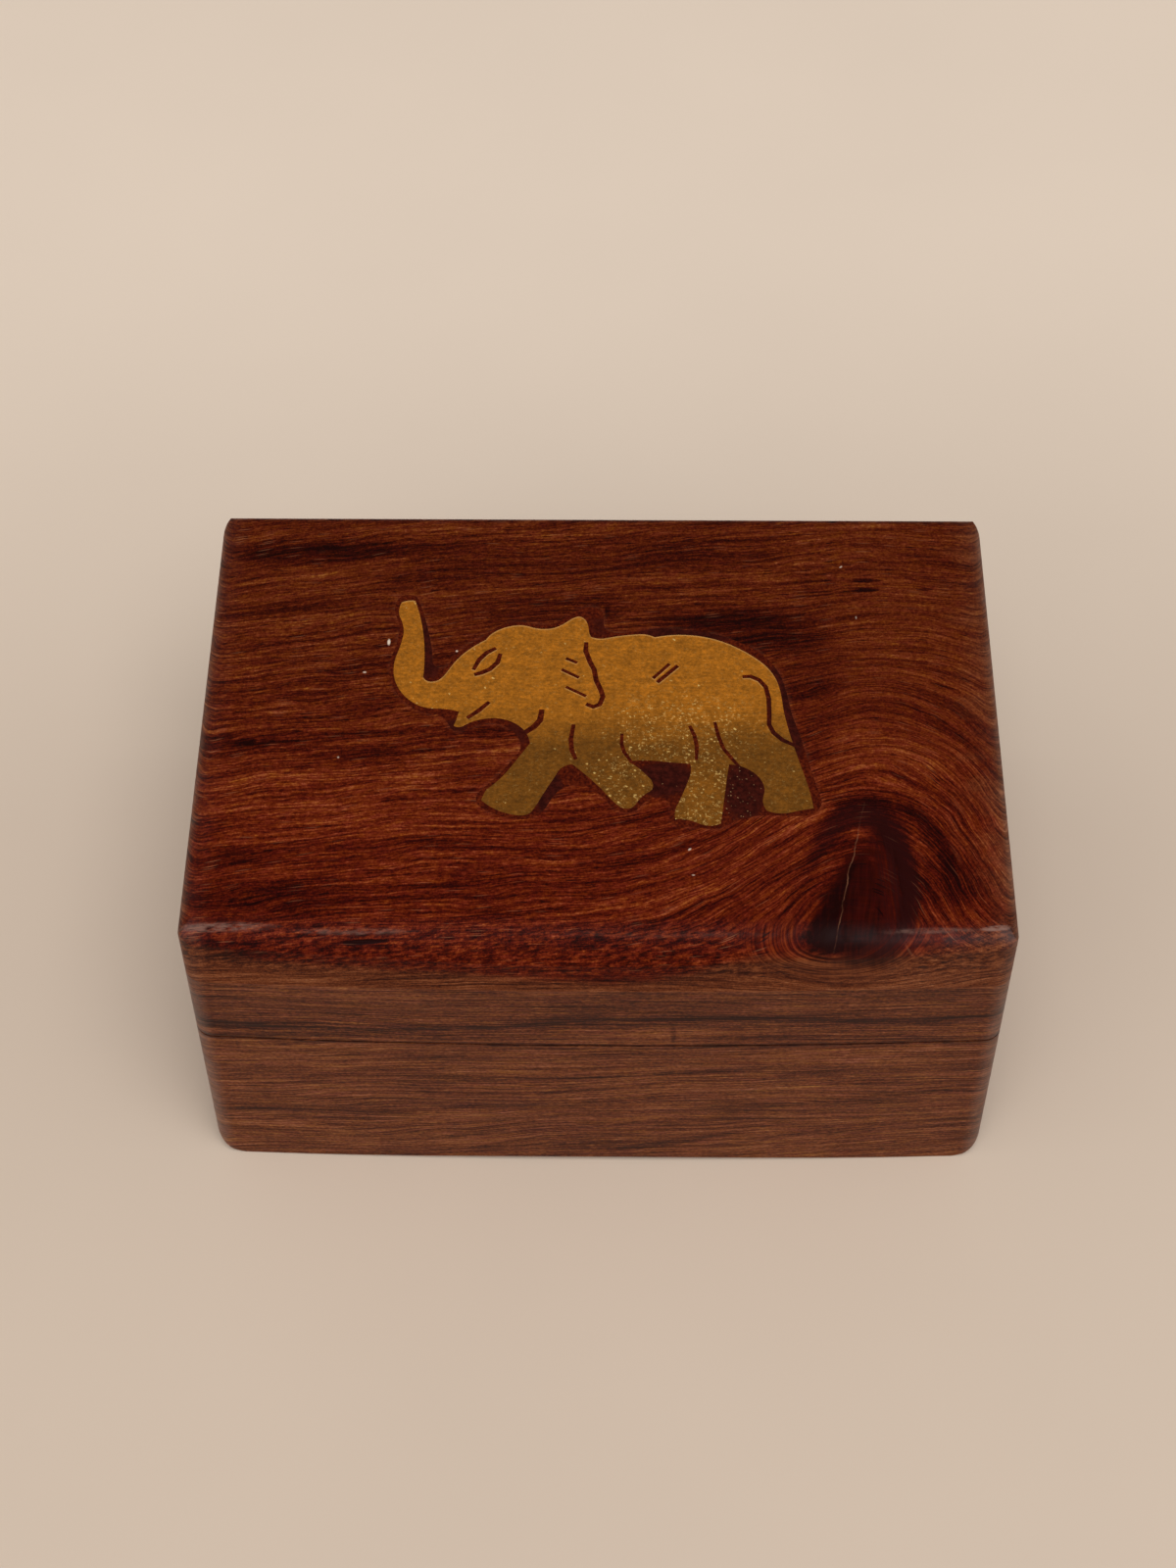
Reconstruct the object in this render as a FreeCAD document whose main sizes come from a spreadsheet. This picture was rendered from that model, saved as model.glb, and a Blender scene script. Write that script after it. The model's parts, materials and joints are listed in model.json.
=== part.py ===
import FreeCAD, Part
import os
import Sketcher

# Small hardwood trinket box: a sawn base and hinged lid, with a brass elephant let into the top board.
# Millimetres, +Z up, +X to the right, the front faces -Y, origin in the middle of the underside.

doc = FreeCAD.newDocument("trinket_box")
Vector = FreeCAD.Vector

# Driving sizes: name, millimetres (degrees for angles, plain numbers for shares), what it measures.
driving_sizes = [
    ("length", 76.2, "outside, end to end"),
    ("depth", 52.5, "outside, front to back"),
    ("height", 38.1, "outside, lid closed"),
    ("front_bow", 0.9, "middle of the front proud of its two ends"),
    ("corner_round", 1.8, "upright corners"),
    ("top_front_round", 3.8, "front edge of the top"),
    ("top_back_round", 1.3, "back edge of the top"),
    ("top_end_round", 2.0, "end edges of the top"),
    ("foot_end_round", 3.4, "end edges of the underside"),
    ("foot_side_round", 1.2, "front and back edges of the underside"),
    ("edge_arris", 0.06, "crease left where a rounded edge meets the sanded face"),
    ("top_thickness", 7.2, "top board"),
    ("bottom_thickness", 7.8, "bottom board"),
    ("wall_thickness", 7.0, "front and back boards"),
    ("end_thickness", 7.0, "end boards"),
    ("seam_height", 21.6, "middle of the saw cut between base and lid"),
    ("seam_gap", 0.25, "saw cut with the lid closed"),
    ("inlay_length", 39.9, "brass figure, trunk to heel"),
    ("brass_thickness", 0.9, "brass sheet"),
    ("recess_depth", 1.4, "recess cut for the inlay"),
    ("hinge_inset", 15.1, "end of the box to the middle of a hinge"),
    ("hinge_length", 14.0, "along the pin"),
    ("leaf_depth", 5.0, "pin axis to the inner edge of a leaf"),
    ("leaf_thickness", 0.6, "hinge sheet, also the wall of the rolled barrel"),
    ("pin_diameter", 1.1, "hinge pin"),
    ("pin_clearance", 0.03, "all round the pin"),
    ("pin_inset", 1.0, "pin axis in front of the back face"),
    ("knuckle_gap", 0.12, "between neighbouring knuckles"),
    ("knuckle_room", 0.15, "leaf cut back clear of the other leaf's knuckle"),
    ("rivet_diameter", 1.6, "peened ends of the pin"),
    ("rivet_height", 0.35, "peened ends of the pin"),
    ("barrel_room", 0.25, "wood cut clear of the barrel"),
    ("mortise_clearance", 0.08, "wood cut clear of a leaf's ends and inner edge"),
    ("lid_travel", 100.0, "angle the lid opens to"),
    ("stop_margin", 4.0, "angle left between the stop bevels at full travel"),
    ("nail_diameter", 1.2, "hinge brad"),
    ("nail_share", 0.65, "brad length as a share of the lower of the two back boards"),
    ("nail_spacing", 8.4, "between the two brads of a leaf"),
    ("nail_setback", 3.1, "pin axis to the row of brads"),
]
# Places and sizes that follow from the driving ones.
worked_out = [
    ("half_length", "Sizes.length / 2"),
    ("half_depth", "Sizes.depth / 2"),
    ("bow_radius", "(half_length ^ 2 + Sizes.front_bow ^ 2) / (2 * Sizes.front_bow)"),
    ("bow_centre", "bow_radius - half_depth"),
    ("block_end", "half_length + Sizes.edge_arris"),
    ("block_side", "half_depth + Sizes.edge_arris"),
    ("block_top", "Sizes.height + Sizes.edge_arris"),
    ("base_rim", "Sizes.seam_height - Sizes.seam_gap / 2"),
    ("lid_rim", "Sizes.seam_height + Sizes.seam_gap / 2"),
    ("top_underside", "Sizes.height - Sizes.top_thickness"),
    ("inside_end", "half_length - Sizes.end_thickness"),
    ("inside_wall", "half_depth - Sizes.wall_thickness"),
    ("pin_y", "half_depth - Sizes.pin_inset"),
    ("hinge_x", "half_length - Sizes.hinge_inset"),
    ("half_hinge", "Sizes.hinge_length / 2"),
    ("half_middle_knuckle", "(Sizes.hinge_length - 2 * Sizes.knuckle_gap) / 6"),
    ("middle_gap", "half_middle_knuckle + Sizes.knuckle_gap"),
    ("pin_radius", "Sizes.pin_diameter / 2"),
    ("bore_radius", "pin_radius + Sizes.pin_clearance"),
    ("barrel_radius", "bore_radius + Sizes.leaf_thickness"),
    ("notch_radius", "barrel_radius + Sizes.barrel_room"),
    ("rivet_radius", "Sizes.rivet_diameter / 2"),
    ("rivet_seat", "half_hinge + Sizes.pin_clearance"),
    ("rivet_end", "rivet_seat + Sizes.rivet_height"),
    ("half_notch", "rivet_end + Sizes.barrel_room"),
    ("leaf_near", "Sizes.seam_gap / 2"),
    ("leaf_far", "leaf_near + Sizes.leaf_thickness"),
    ("leaf_cut_back", "barrel_radius + Sizes.knuckle_room"),
    ("half_mortise", "half_hinge + Sizes.mortise_clearance"),
    ("mortise_front", "pin_y - Sizes.leaf_depth - Sizes.mortise_clearance"),
    ("groove_run", "2 * Sizes.pin_inset"),
    ("groove_rise", "groove_run * tan((Sizes.lid_travel + Sizes.stop_margin) / 2 * 1 deg)"),
    ("nail_radius", "Sizes.nail_diameter / 2"),
    ("base_board_height", "base_rim - Sizes.bottom_thickness"),
    ("lid_rail_height", "top_underside - lid_rim"),
    ("nail_length", "Sizes.nail_share * min(base_board_height; lid_rail_height)"),
    ("nail_row", "pin_y - Sizes.nail_setback"),
    ("half_nail_spacing", "Sizes.nail_spacing / 2"),
]

sizes = doc.addObject("Spreadsheet::Sheet", "Sizes")
for row, (name, number, meaning) in enumerate(driving_sizes, start=1):
    sizes.set(f"A{row}", name)
    sizes.set(f"B{row}", str(number))
    sizes.set(f"C{row}", meaning)
    sizes.setAlias(f"B{row}", name)
places = doc.addObject("Spreadsheet::Sheet", "Places")
for row, (name, rule) in enumerate(worked_out, start=1):
    places.set(f"A{row}", name)
    places.set(f"B{row}", "=" + rule)
    places.setAlias(f"B{row}", name)
doc.recompute()

sheet_names = {name: "Sizes" for name, number, meaning in driving_sizes}
sheet_names.update({name: "Places" for name, rule in worked_out})


def size(name):
    sheet = sizes if sheet_names[name] == "Sizes" else places
    return float(sheet.get(name))


def cell(name):
    return f"{sheet_names[name]}.{name}"


def bind(item, rules):
    for property_name, rule in rules.items():
        item.setExpression(property_name, rule)


# Sketch helpers: lines, arcs and their fixed distances from the sketch's origin.
def hold(sketch, axis, geometry, point, name):
    drawn = getattr(sketch.getPoint(geometry, point), axis.lower())
    ends = (-1, 1, geometry, point) if drawn > 0 else (geometry, point, -1, 1)
    index = sketch.addConstraint(Sketcher.Constraint("Distance" + axis, *ends, abs(drawn)))
    sketch.setExpression(f"Constraints[{index}]", cell(name))


def set_radius(sketch, geometry, name):
    index = sketch.addConstraint(Sketcher.Constraint("Radius", geometry, size(name)))
    sketch.setExpression(f"Constraints[{index}]", cell(name))


def join_ends(sketch, count, kind):
    for number in range(count):
        following = (number + 1) % count
        sketch.addConstraint(Sketcher.Constraint(kind, number, 2, following, 1))


def polygon(sketch, corners):
    # corners: (x, y) pairs, each a signed size name such as "-half_hinge", or "0"
    def number(word):
        return 0.0 if word == "0" else (-1 if word[0] == "-" else 1) * size(word.lstrip("-"))

    points = [Vector(number(x), number(y), 0) for x, y in corners]
    for start, end in zip(points, points[1:] + points[:1]):
        sketch.addGeometry(Part.LineSegment(start, end), False)
    join_ends(sketch, len(points), "Coincident")
    for index, pair in enumerate(corners):
        for axis, word in zip("XY", pair):
            if word == "0":
                on_axis = -2 if axis == "X" else -1
                sketch.addConstraint(Sketcher.Constraint("PointOnObject", index, 1, on_axis))
            else:
                hold(sketch, axis, index, 1, word.lstrip("-"))


def rounded_rectangle(sketch, half_width, top, radii):
    # radii: names for the corners, anticlockwise from lower left; the lower side lies on the x axis
    w = size(half_width)
    h = size(top)
    corners = [Vector(-w, 0, 0), Vector(w, 0, 0), Vector(w, h, 0), Vector(-w, h, 0)]
    for index, corner in enumerate(corners):
        radius = size(radii[index])
        before = (corners[index - 1] - corner).normalize()
        after = (corners[(index + 1) % 4] - corner).normalize()
        centre = corner + (before + after) * radius
        middle = centre - (before + after).normalize() * radius
        sketch.addGeometry(Part.Arc(corner + before * radius, middle, corner + after * radius), False)
        following = corners[(index + 1) % 4]
        next_radius = size(radii[(index + 1) % 4])
        line = Part.LineSegment(corner + after * radius, following - after * next_radius)
        sketch.addGeometry(line, False)
    join_ends(sketch, 8, "Tangent")
    for index in range(4):
        set_radius(sketch, 2 * index, radii[index])
        direction = "Horizontal" if index % 2 == 0 else "Vertical"
        sketch.addConstraint(Sketcher.Constraint(direction, 2 * index + 1))
    sketch.addConstraint(Sketcher.Constraint("PointOnObject", 1, 1, -1))
    hold(sketch, "X", 3, 1, half_width)
    hold(sketch, "Y", 5, 1, top)
    hold(sketch, "X", 7, 1, half_width)


# Outside of the finished block: three rounded outlines, seen from the end, the front and above.
across = FreeCAD.Rotation(Vector(1, 1, 1), 120)
upright = FreeCAD.Rotation(Vector(1, 0, 0), 90)


def outline_solid(name, rotation, draw, reach):
    sketch = doc.addObject("Sketcher::SketchObject", name + "_outline")
    sketch.Placement = FreeCAD.Placement(Vector(), rotation)
    draw(sketch)
    solid = doc.addObject("Part::Extrusion", name)
    solid.Base = sketch
    solid.DirMode = "Normal"
    solid.Solid = True
    solid.Symmetric = True
    bind(solid, {"LengthFwd": f"2 * {cell(reach)}"})
    return solid


def draw_end_outline(sketch):
    radii = ["foot_side_round", "foot_side_round", "top_back_round", "top_front_round"]
    rounded_rectangle(sketch, "block_side", "height", radii)


def draw_front_outline(sketch):
    radii = ["foot_end_round", "foot_end_round", "top_end_round", "top_end_round"]
    rounded_rectangle(sketch, "block_end", "block_top", radii)


def draw_plan_outline(sketch):
    # straight ends and back, a bowed front, and round upright corners tangent to them
    x = size("half_length")
    back = size("half_depth")
    radius = size("corner_round")
    bow = size("bow_radius")
    bow_centre = Vector(0, size("bow_centre"), 0)
    inner = x - radius
    front_y = bow_centre.y - ((bow - radius) ** 2 - inner ** 2) ** 0.5
    slant = radius / 2 ** 0.5

    def front_corner(side):
        centre = Vector(side * inner, front_y, 0)
        outward = (centre - bow_centre).normalize()
        return centre, centre + outward * radius

    left_centre, left_touch = front_corner(-1)
    right_centre, right_touch = front_corner(1)
    middle_front = Vector(0, -back, 0)
    back_y = back - radius
    edges = [
        Part.Arc(left_touch, middle_front, right_touch),
        Part.Arc(right_touch, right_centre + Vector(slant, -slant, 0), Vector(x, front_y, 0)),
        Part.LineSegment(Vector(x, front_y, 0), Vector(x, back_y, 0)),
        Part.Arc(Vector(x, back_y, 0), Vector(inner + slant, back_y + slant, 0), Vector(inner, back, 0)),
        Part.LineSegment(Vector(inner, back, 0), Vector(-inner, back, 0)),
        Part.Arc(Vector(-inner, back, 0), Vector(-inner - slant, back_y + slant, 0), Vector(-x, back_y, 0)),
        Part.LineSegment(Vector(-x, back_y, 0), Vector(-x, front_y, 0)),
        Part.Arc(Vector(-x, front_y, 0), left_centre + Vector(-slant, -slant, 0), left_touch),
    ]
    for edge in edges:
        sketch.addGeometry(edge, False)
    join_ends(sketch, len(edges), "Tangent")
    for corner in (1, 3, 5, 7):
        set_radius(sketch, corner, "corner_round")
    for end_line in (2, 6):
        sketch.addConstraint(Sketcher.Constraint("Vertical", end_line))
        hold(sketch, "X", end_line, 1, "half_length")
    sketch.addConstraint(Sketcher.Constraint("Horizontal", 4))
    hold(sketch, "Y", 4, 1, "half_depth")
    set_radius(sketch, 0, "bow_radius")
    sketch.addConstraint(Sketcher.Constraint("PointOnObject", 0, 3, -2))
    hold(sketch, "Y", 0, 3, "bow_centre")


block = doc.addObject("Part::MultiCommon", "block")
block.Shapes = [
    outline_solid("end_view", across, draw_end_outline, "length"),
    outline_solid("front_view", upright, draw_front_outline, "depth"),
    outline_solid("plan_view", FreeCAD.Rotation(), draw_plan_outline, "height"),
]

# Boards: oversize blanks glued up, then sanded to the block's outside.
nodes = {}


def keep(name, item):
    item.Label = name
    nodes[name] = item


def board(name, low, high):
    # low and high: the blank's corners, as rules
    blank = doc.addObject("Part::Box", name + "_blank")
    bind(blank, {f"Placement.Base.{axis}": rule for axis, rule in zip("xyz", low)})
    spans = [f"({end}) - ({start})" for start, end in zip(low, high)]
    bind(blank, dict(zip(("Length", "Width", "Height"), spans)))
    piece = doc.addObject("Part::Common", name + "_sanded")
    piece.Base = blank
    piece.Tool = block
    return piece


def cut(name, piece, tool):
    result = doc.addObject("Part::Cut", name)
    result.Base = piece
    result.Tool = tool
    return result


far_x = cell("length")
far_y = cell("depth")
far_z = f"2 * {cell('height')}"
inside_x = cell("inside_end")
inside_y = cell("inside_wall")


def wall_blanks(prefix, suffix, bottom, top):
    # front and back run the full length, the ends butt between them
    return {
        f"{prefix}_front_{suffix}": ((f"-{far_x}", f"-{far_y}", bottom), (far_x, f"-{inside_y}", top)),
        f"{prefix}_back_{suffix}": ((f"-{far_x}", inside_y, bottom), (far_x, far_y, top)),
        f"{prefix}_left_{suffix}": ((f"-{far_x}", f"-{inside_y}", bottom), (f"-{inside_x}", inside_y, top)),
        f"{prefix}_right_{suffix}": ((inside_x, f"-{inside_y}", bottom), (far_x, inside_y, top)),
    }


underside = cell("top_underside")
floor = cell("bottom_thickness")
blanks = {
    "base_bottom": ((f"-{far_x}", f"-{far_y}", f"-{floor}"), (far_x, far_y, floor)),
    "lid_top": ((f"-{far_x}", f"-{far_y}", underside), (far_x, far_y, far_z)),
}
blanks.update(wall_blanks("base", "board", floor, cell("base_rim")))
blanks.update(wall_blanks("lid", "rail", cell("lid_rim"), underside))
boards = {name: board(name, low, high) for name, (low, high) in blanks.items()}
for name, piece in boards.items():
    if name not in ("lid_top", "base_back_board", "lid_back_rail"):
        keep(name, piece)

# Hinge nails: wire brads driven away from the seam and filed flush with the leaves.
hinge_sides = {"left": -1, "right": 1}
upside_down = FreeCAD.Rotation(Vector(1, 0, 0), 180)


def nail(name, side, end, way):
    # way: -1 down into the base, +1 up into the lid
    brad = doc.addObject("Part::Cylinder", name)
    if way < 0:
        brad.Placement = FreeCAD.Placement(Vector(), upside_down)
    bind(brad, {
        "Placement.Base.x": f"{side} * {cell('hinge_x')} + {end} * {cell('half_nail_spacing')}",
        "Placement.Base.y": cell("nail_row"),
        "Placement.Base.z": f"{cell('seam_height')} + {way} * {cell('leaf_near')}",
        "Height": cell("nail_length"),
        "Radius": cell("nail_radius"),
    })
    return brad


nail_groups = {}
for body, way in (("base", -1), ("lid", 1)):
    group = doc.addObject("Part::Compound", f"{body}_hinge_nails")
    group.Links = [
        nail(f"{body}_{hinge}_nail_{number}", side, end, way)
        for hinge, side in hinge_sides.items()
        for number, end in ((1, -1), (2, 1))
    ]
    keep(f"{body}_hinge_nails", group)
    nail_groups[body] = group

# Hinge seats in the two back boards: leaf mortises, barrel notches and the bevels that stop the lid.
def along_x(item, x_rule):
    item.Placement = FreeCAD.Placement(Vector(), FreeCAD.Rotation(Vector(0, 1, 0), 90))
    bind(item, {
        "Placement.Base.x": x_rule,
        "Placement.Base.y": cell("pin_y"),
        "Placement.Base.z": cell("seam_height"),
    })


def draw_stop_groove(sketch):
    polygon(sketch, [("0", "0"), ("groove_run", "-groove_rise"), ("groove_run", "groove_rise")])


groove = outline_solid("stop_groove", across, draw_stop_groove, "length")
bind(groove.Base, {"Placement.Base.y": cell("pin_y"), "Placement.Base.z": cell("seam_height")})
seat_tools = [groove]
for hinge, side in hinge_sides.items():
    middle = f"{side} * {cell('hinge_x')}"
    mortise = doc.addObject("Part::Box", f"{hinge}_mortise")
    bind(mortise, {
        "Placement.Base.x": f"{middle} - {cell('half_mortise')}",
        "Placement.Base.y": cell("mortise_front"),
        "Placement.Base.z": f"{cell('seam_height')} - {cell('leaf_far')}",
        "Length": f"2 * {cell('half_mortise')}",
        "Width": cell("depth"),
        "Height": f"2 * {cell('leaf_far')}",
    })
    notch = doc.addObject("Part::Cylinder", f"{hinge}_barrel_notch")
    along_x(notch, f"{middle} - {cell('half_notch')}")
    bind(notch, {"Radius": cell("notch_radius"), "Height": f"2 * {cell('half_notch')}"})
    seat_tools += [mortise, notch]
hinge_seats = doc.addObject("Part::MultiFuse", "hinge_seats")
hinge_seats.Shapes = seat_tools
for body, name in (("base", "base_back_board"), ("lid", "lid_back_rail")):
    seated = cut(name + "_seated", boards[name], hinge_seats)
    keep(name, cut(name, seated, nail_groups[body]))


# Hinge leaves and pins, each modelled about its pin's axis.
def origin_plane(body, role):
    return next(plane for plane in body.Origin.OriginFeatures if plane.Role == role)


def body_sketch(body, name, role):
    sketch = body.newObject("Sketcher::SketchObject", name)
    sketch.AttachmentSupport = [(origin_plane(body, role), "")]
    sketch.MapMode = "FlatFace"
    return sketch


def pad(body, name, sketch, length):
    feature = body.newObject("PartDesign::Pad", name)
    feature.Profile = sketch
    feature.SideType = "Symmetric"
    bind(feature, {"Length": cell(length)})


def through_pocket(body, name, sketch):
    feature = body.newObject("PartDesign::Pocket", name)
    feature.Profile = sketch
    feature.SideType = "Symmetric"
    feature.Type = "ThroughAll"


def circle(sketch, name):
    index = sketch.addGeometry(Part.Circle(Vector(), Vector(0, 0, 1), size(name)), False)
    sketch.addConstraint(Sketcher.Constraint("Coincident", index, 3, -1, 1))
    set_radius(sketch, index, name)


def hinge_body(name, side):
    body = doc.addObject("PartDesign::Body", name)
    bind(body, {
        "Placement.Base.x": f"{side} * {cell('hinge_x')}",
        "Placement.Base.y": cell("pin_y"),
        "Placement.Base.z": cell("seam_height"),
    })
    return body


def leaf(name, side, way):
    # way: -1 for the leaf in the base, +1 for the leaf in the lid
    body = hinge_body(name, side)
    sign = "-" if way < 0 else ""
    near, far = sign + "leaf_near", sign + "leaf_far"
    plate_outline = body_sketch(body, name + "_plate_outline", "YZ_Plane")
    polygon(plate_outline, [("-leaf_depth", near), ("0", near), ("0", far), ("-leaf_depth", far)])
    pad(body, name + "_plate", plate_outline, "hinge_length")
    barrel_outline = body_sketch(body, name + "_barrel_outline", "YZ_Plane")
    circle(barrel_outline, "barrel_radius")
    pad(body, name + "_barrel", barrel_outline, "hinge_length")
    bore_outline = body_sketch(body, name + "_bore_outline", "YZ_Plane")
    circle(bore_outline, "bore_radius")
    through_pocket(body, name + "_bore", bore_outline)

    # the base leaf keeps the outer knuckles, the lid leaf the middle one
    if way < 0:
        gaps = [("-middle_gap", "middle_gap")]
    else:
        gaps = [("-half_notch", "-half_middle_knuckle"), ("half_middle_knuckle", "half_notch")]
    for number, (start, end) in enumerate(gaps, start=1):
        gap_outline = body_sketch(body, f"{name}_gap_outline_{number}", "XY_Plane")
        polygon(gap_outline, [
            (start, "-leaf_cut_back"), (end, "-leaf_cut_back"),
            (end, "leaf_cut_back"), (start, "leaf_cut_back"),
        ])
        through_pocket(body, f"{name}_gap_{number}", gap_outline)

    hole_outline = body_sketch(body, name + "_nail_holes_outline", "XY_Plane")
    for index, end in enumerate((-1, 1)):
        centre = Vector(end * size("half_nail_spacing"), -size("nail_setback"), 0)
        hole_outline.addGeometry(Part.Circle(centre, Vector(0, 0, 1), size("nail_radius")), False)
        set_radius(hole_outline, index, "nail_radius")
        hold(hole_outline, "X", index, 3, "half_nail_spacing")
        hold(hole_outline, "Y", index, 3, "nail_setback")
    through_pocket(body, name + "_nail_holes", hole_outline)
    return body


def pin(name, side):
    # round pin with a peened head at each end, turned about the sketch's x axis
    body = hinge_body(name, side)
    profile = body_sketch(body, name + "_profile", "XY_Plane")
    polygon(profile, [
        ("-rivet_end", "0"), ("rivet_end", "0"), ("rivet_end", "pin_radius"), ("rivet_seat", "rivet_radius"),
        ("rivet_seat", "pin_radius"), ("-rivet_seat", "pin_radius"), ("-rivet_seat", "rivet_radius"),
        ("-rivet_end", "pin_radius"),
    ])
    turned = body.newObject("PartDesign::Revolution", name + "_turned")
    turned.Profile = profile
    turned.ReferenceAxis = (profile, ["H_Axis"])
    turned.Angle = 360
    return body


for hinge, side in hinge_sides.items():
    keep(f"hinge_{hinge}_base_leaf", leaf(f"hinge_{hinge}_base_leaf", side, -1))
    keep(f"hinge_{hinge}_lid_leaf", leaf(f"hinge_{hinge}_lid_leaf", side, 1))
    keep(f"hinge_{hinge}_pin", pin(f"hinge_{hinge}_pin", side))

# Brass elephant: smooth strokes that meet at its corners, as it lies on the lid (x, y from the middle).
elephant_outline = [
    [(-19.5, 14.5), (-19.7, 13.5), (-19.2, 11.5), (-19.5, 8.6), (-19.9, 6.0), (-19.4, 3.8),
     (-18.0, 2.0), (-16.2, 1.1), (-14.5, 1.0), (-13.4, 0.8)],
    [(-13.4, 0.8), (-13.6, -0.1), (-13.85, -0.95)],
    [(-13.85, -0.95), (-13.3, -1.1), (-12.4, -0.6), (-11.0, -0.1), (-9.8, 0.0), (-8.4, -0.4),
     (-7.3, -1.3), (-6.75, -2.2), (-6.55, -3.0)],
    [(-6.55, -3.0), (-8.0, -5.4), (-9.6, -7.6), (-10.5, -8.5)],
    [(-10.5, -8.5), (-10.75, -9.1), (-10.95, -9.75)],
    [(-10.95, -9.75), (-9.6, -10.8), (-8.0, -11.4), (-6.9, -11.45), (-6.3, -11.15)],
    [(-6.3, -11.15), (-5.2, -9.0), (-3.9, -6.6), (-3.1, -5.65), (-2.5, -5.5)],
    [(-2.5, -5.5), (-1.0, -7.0), (0.4, -8.6), (1.6, -10.1), (2.5, -10.65), (3.3, -10.4), (3.9, -9.4),
     (4.7, -8.65), (5.05, -8.0), (4.8, -7.3), (3.9, -6.1), (2.75, -5.1)],
    [(2.75, -5.1), (4.5, -5.0), (6.5, -5.15), (8.55, -5.35)],
    [(8.55, -5.35), (8.6, -6.3), (8.2, -7.8), (7.5, -9.8), (7.1, -11.0), (7.1, -11.85)],
    [(7.1, -11.85), (9.0, -12.25), (10.8, -12.5), (11.3, -12.3)],
    [(11.3, -12.3), (11.6, -10.0), (11.9, -7.6), (12.2, -5.4)],
    [(12.2, -5.4), (13.2, -5.6), (14.4, -6.3), (15.2, -7.3), (15.5, -8.6), (15.35, -9.7), (15.6, -10.8)],
    [(15.6, -10.8), (16.4, -11.05), (17.8, -11.0), (19.95, -10.5)],
    [(19.95, -10.5), (19.4, -7.4), (18.5, -3.8), (17.8, -0.6), (17.4, 2.2), (17.0, 4.7), (16.2, 6.2),
     (15.0, 7.6), (13.4, 8.8), (11.6, 9.75), (10.0, 10.25), (8.0, 10.4), (6.4, 10.35), (5.3, 10.15)],
    [(5.3, 10.15), (4.3, 10.5), (3.0, 10.45), (1.4, 10.2), (0.0, 9.95), (-0.9, 10.15)],
    [(-0.9, 10.15), (-1.15, 11.2), (-1.45, 12.3), (-2.0, 12.75), (-2.7, 12.5), (-3.6, 11.8),
     (-4.6, 11.25), (-5.6, 11.15), (-6.8, 11.4), (-7.9, 11.6), (-9.0, 11.4), (-10.2, 10.8), (-11.1, 9.75)],
    [(-11.1, 9.75), (-12.0, 9.1), (-13.0, 8.2), (-13.9, 7.1), (-14.6, 5.9), (-15.2, 4.95),
     (-15.8, 4.45), (-16.4, 4.45), (-17.0, 5.0)],
    [(-17.0, 5.0), (-16.95, 7.4), (-17.05, 9.4), (-17.4, 11.8), (-17.8, 13.4), (-18.2, 14.7)],
    [(-18.2, 14.7), (-18.9, 14.72), (-19.5, 14.5)],
]
# Saw lines through the brass: greatest width, then the line's points.
elephant_lines = {
    "eye_upper": (0.48, [(-10.1, 8.7), (-11.0, 8.1), (-11.7, 7.2), (-12.2, 5.95)]),
    "eye_lower": (0.5, [(-9.65, 8.0), (-9.9, 6.9), (-10.6, 6.05), (-11.4, 5.6), (-12.1, 5.35)]),
    "mouth": (0.48, [(-10.55, 2.0), (-11.5, 0.95), (-12.6, 0.0)]),
    "cheek": (0.62, [(-5.5, 1.1), (-5.65, -0.2), (-6.2, -1.0), (-7.15, -1.8)]),
    "ear_fold_upper": (0.42, [(-3.3, 7.45), (-2.2, 6.9)]),
    "ear_fold_middle": (0.42, [(-3.7, 6.05), (-2.0, 5.05)]),
    "ear_fold_lower": (0.4, [(-3.25, 3.9), (-1.3, 2.75)]),
    "ear_edge": (0.5, [(-1.35, 9.5), (-1.4, 8.4), (-1.0, 7.1), (-0.55, 6.0), (-0.35, 4.7), (0.1, 3.5),
                        (0.3, 2.7), (0.0, 1.75), (-0.6, 1.45), (-1.3, 1.8)]),
    "flank_mark_front": (0.44, [(5.1, 5.0), (6.7, 6.8)]),
    "flank_mark_back": (0.52, [(5.5, 4.5), (7.5, 6.6)]),
    "tail": (0.46, [(13.7, 5.25), (14.5, 5.3), (15.3, 4.85), (15.9, 4.0), (16.15, 2.6), (16.15, 0.6),
                    (16.1, -0.6), (16.5, -1.6), (17.3, -2.45), (18.6, -3.2)]),
    "front_leg": (0.46, [(-2.45, -0.7), (-2.7, -2.5), (-2.6, -3.8), (-2.2, -4.9)]),
    "second_leg": (0.36, [(2.15, -1.8), (2.1, -3.0), (2.35, -4.0), (3.1, -5.3)]),
    "third_leg": (0.4, [(8.55, -0.8), (9.0, -2.0), (9.2, -3.3), (9.15, -4.9)]),
    "hind_leg": (0.38, [(10.95, -0.3), (11.25, -2.0), (11.7, -3.5), (12.4, -4.6), (13.3, -5.9)]),
}
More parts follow.
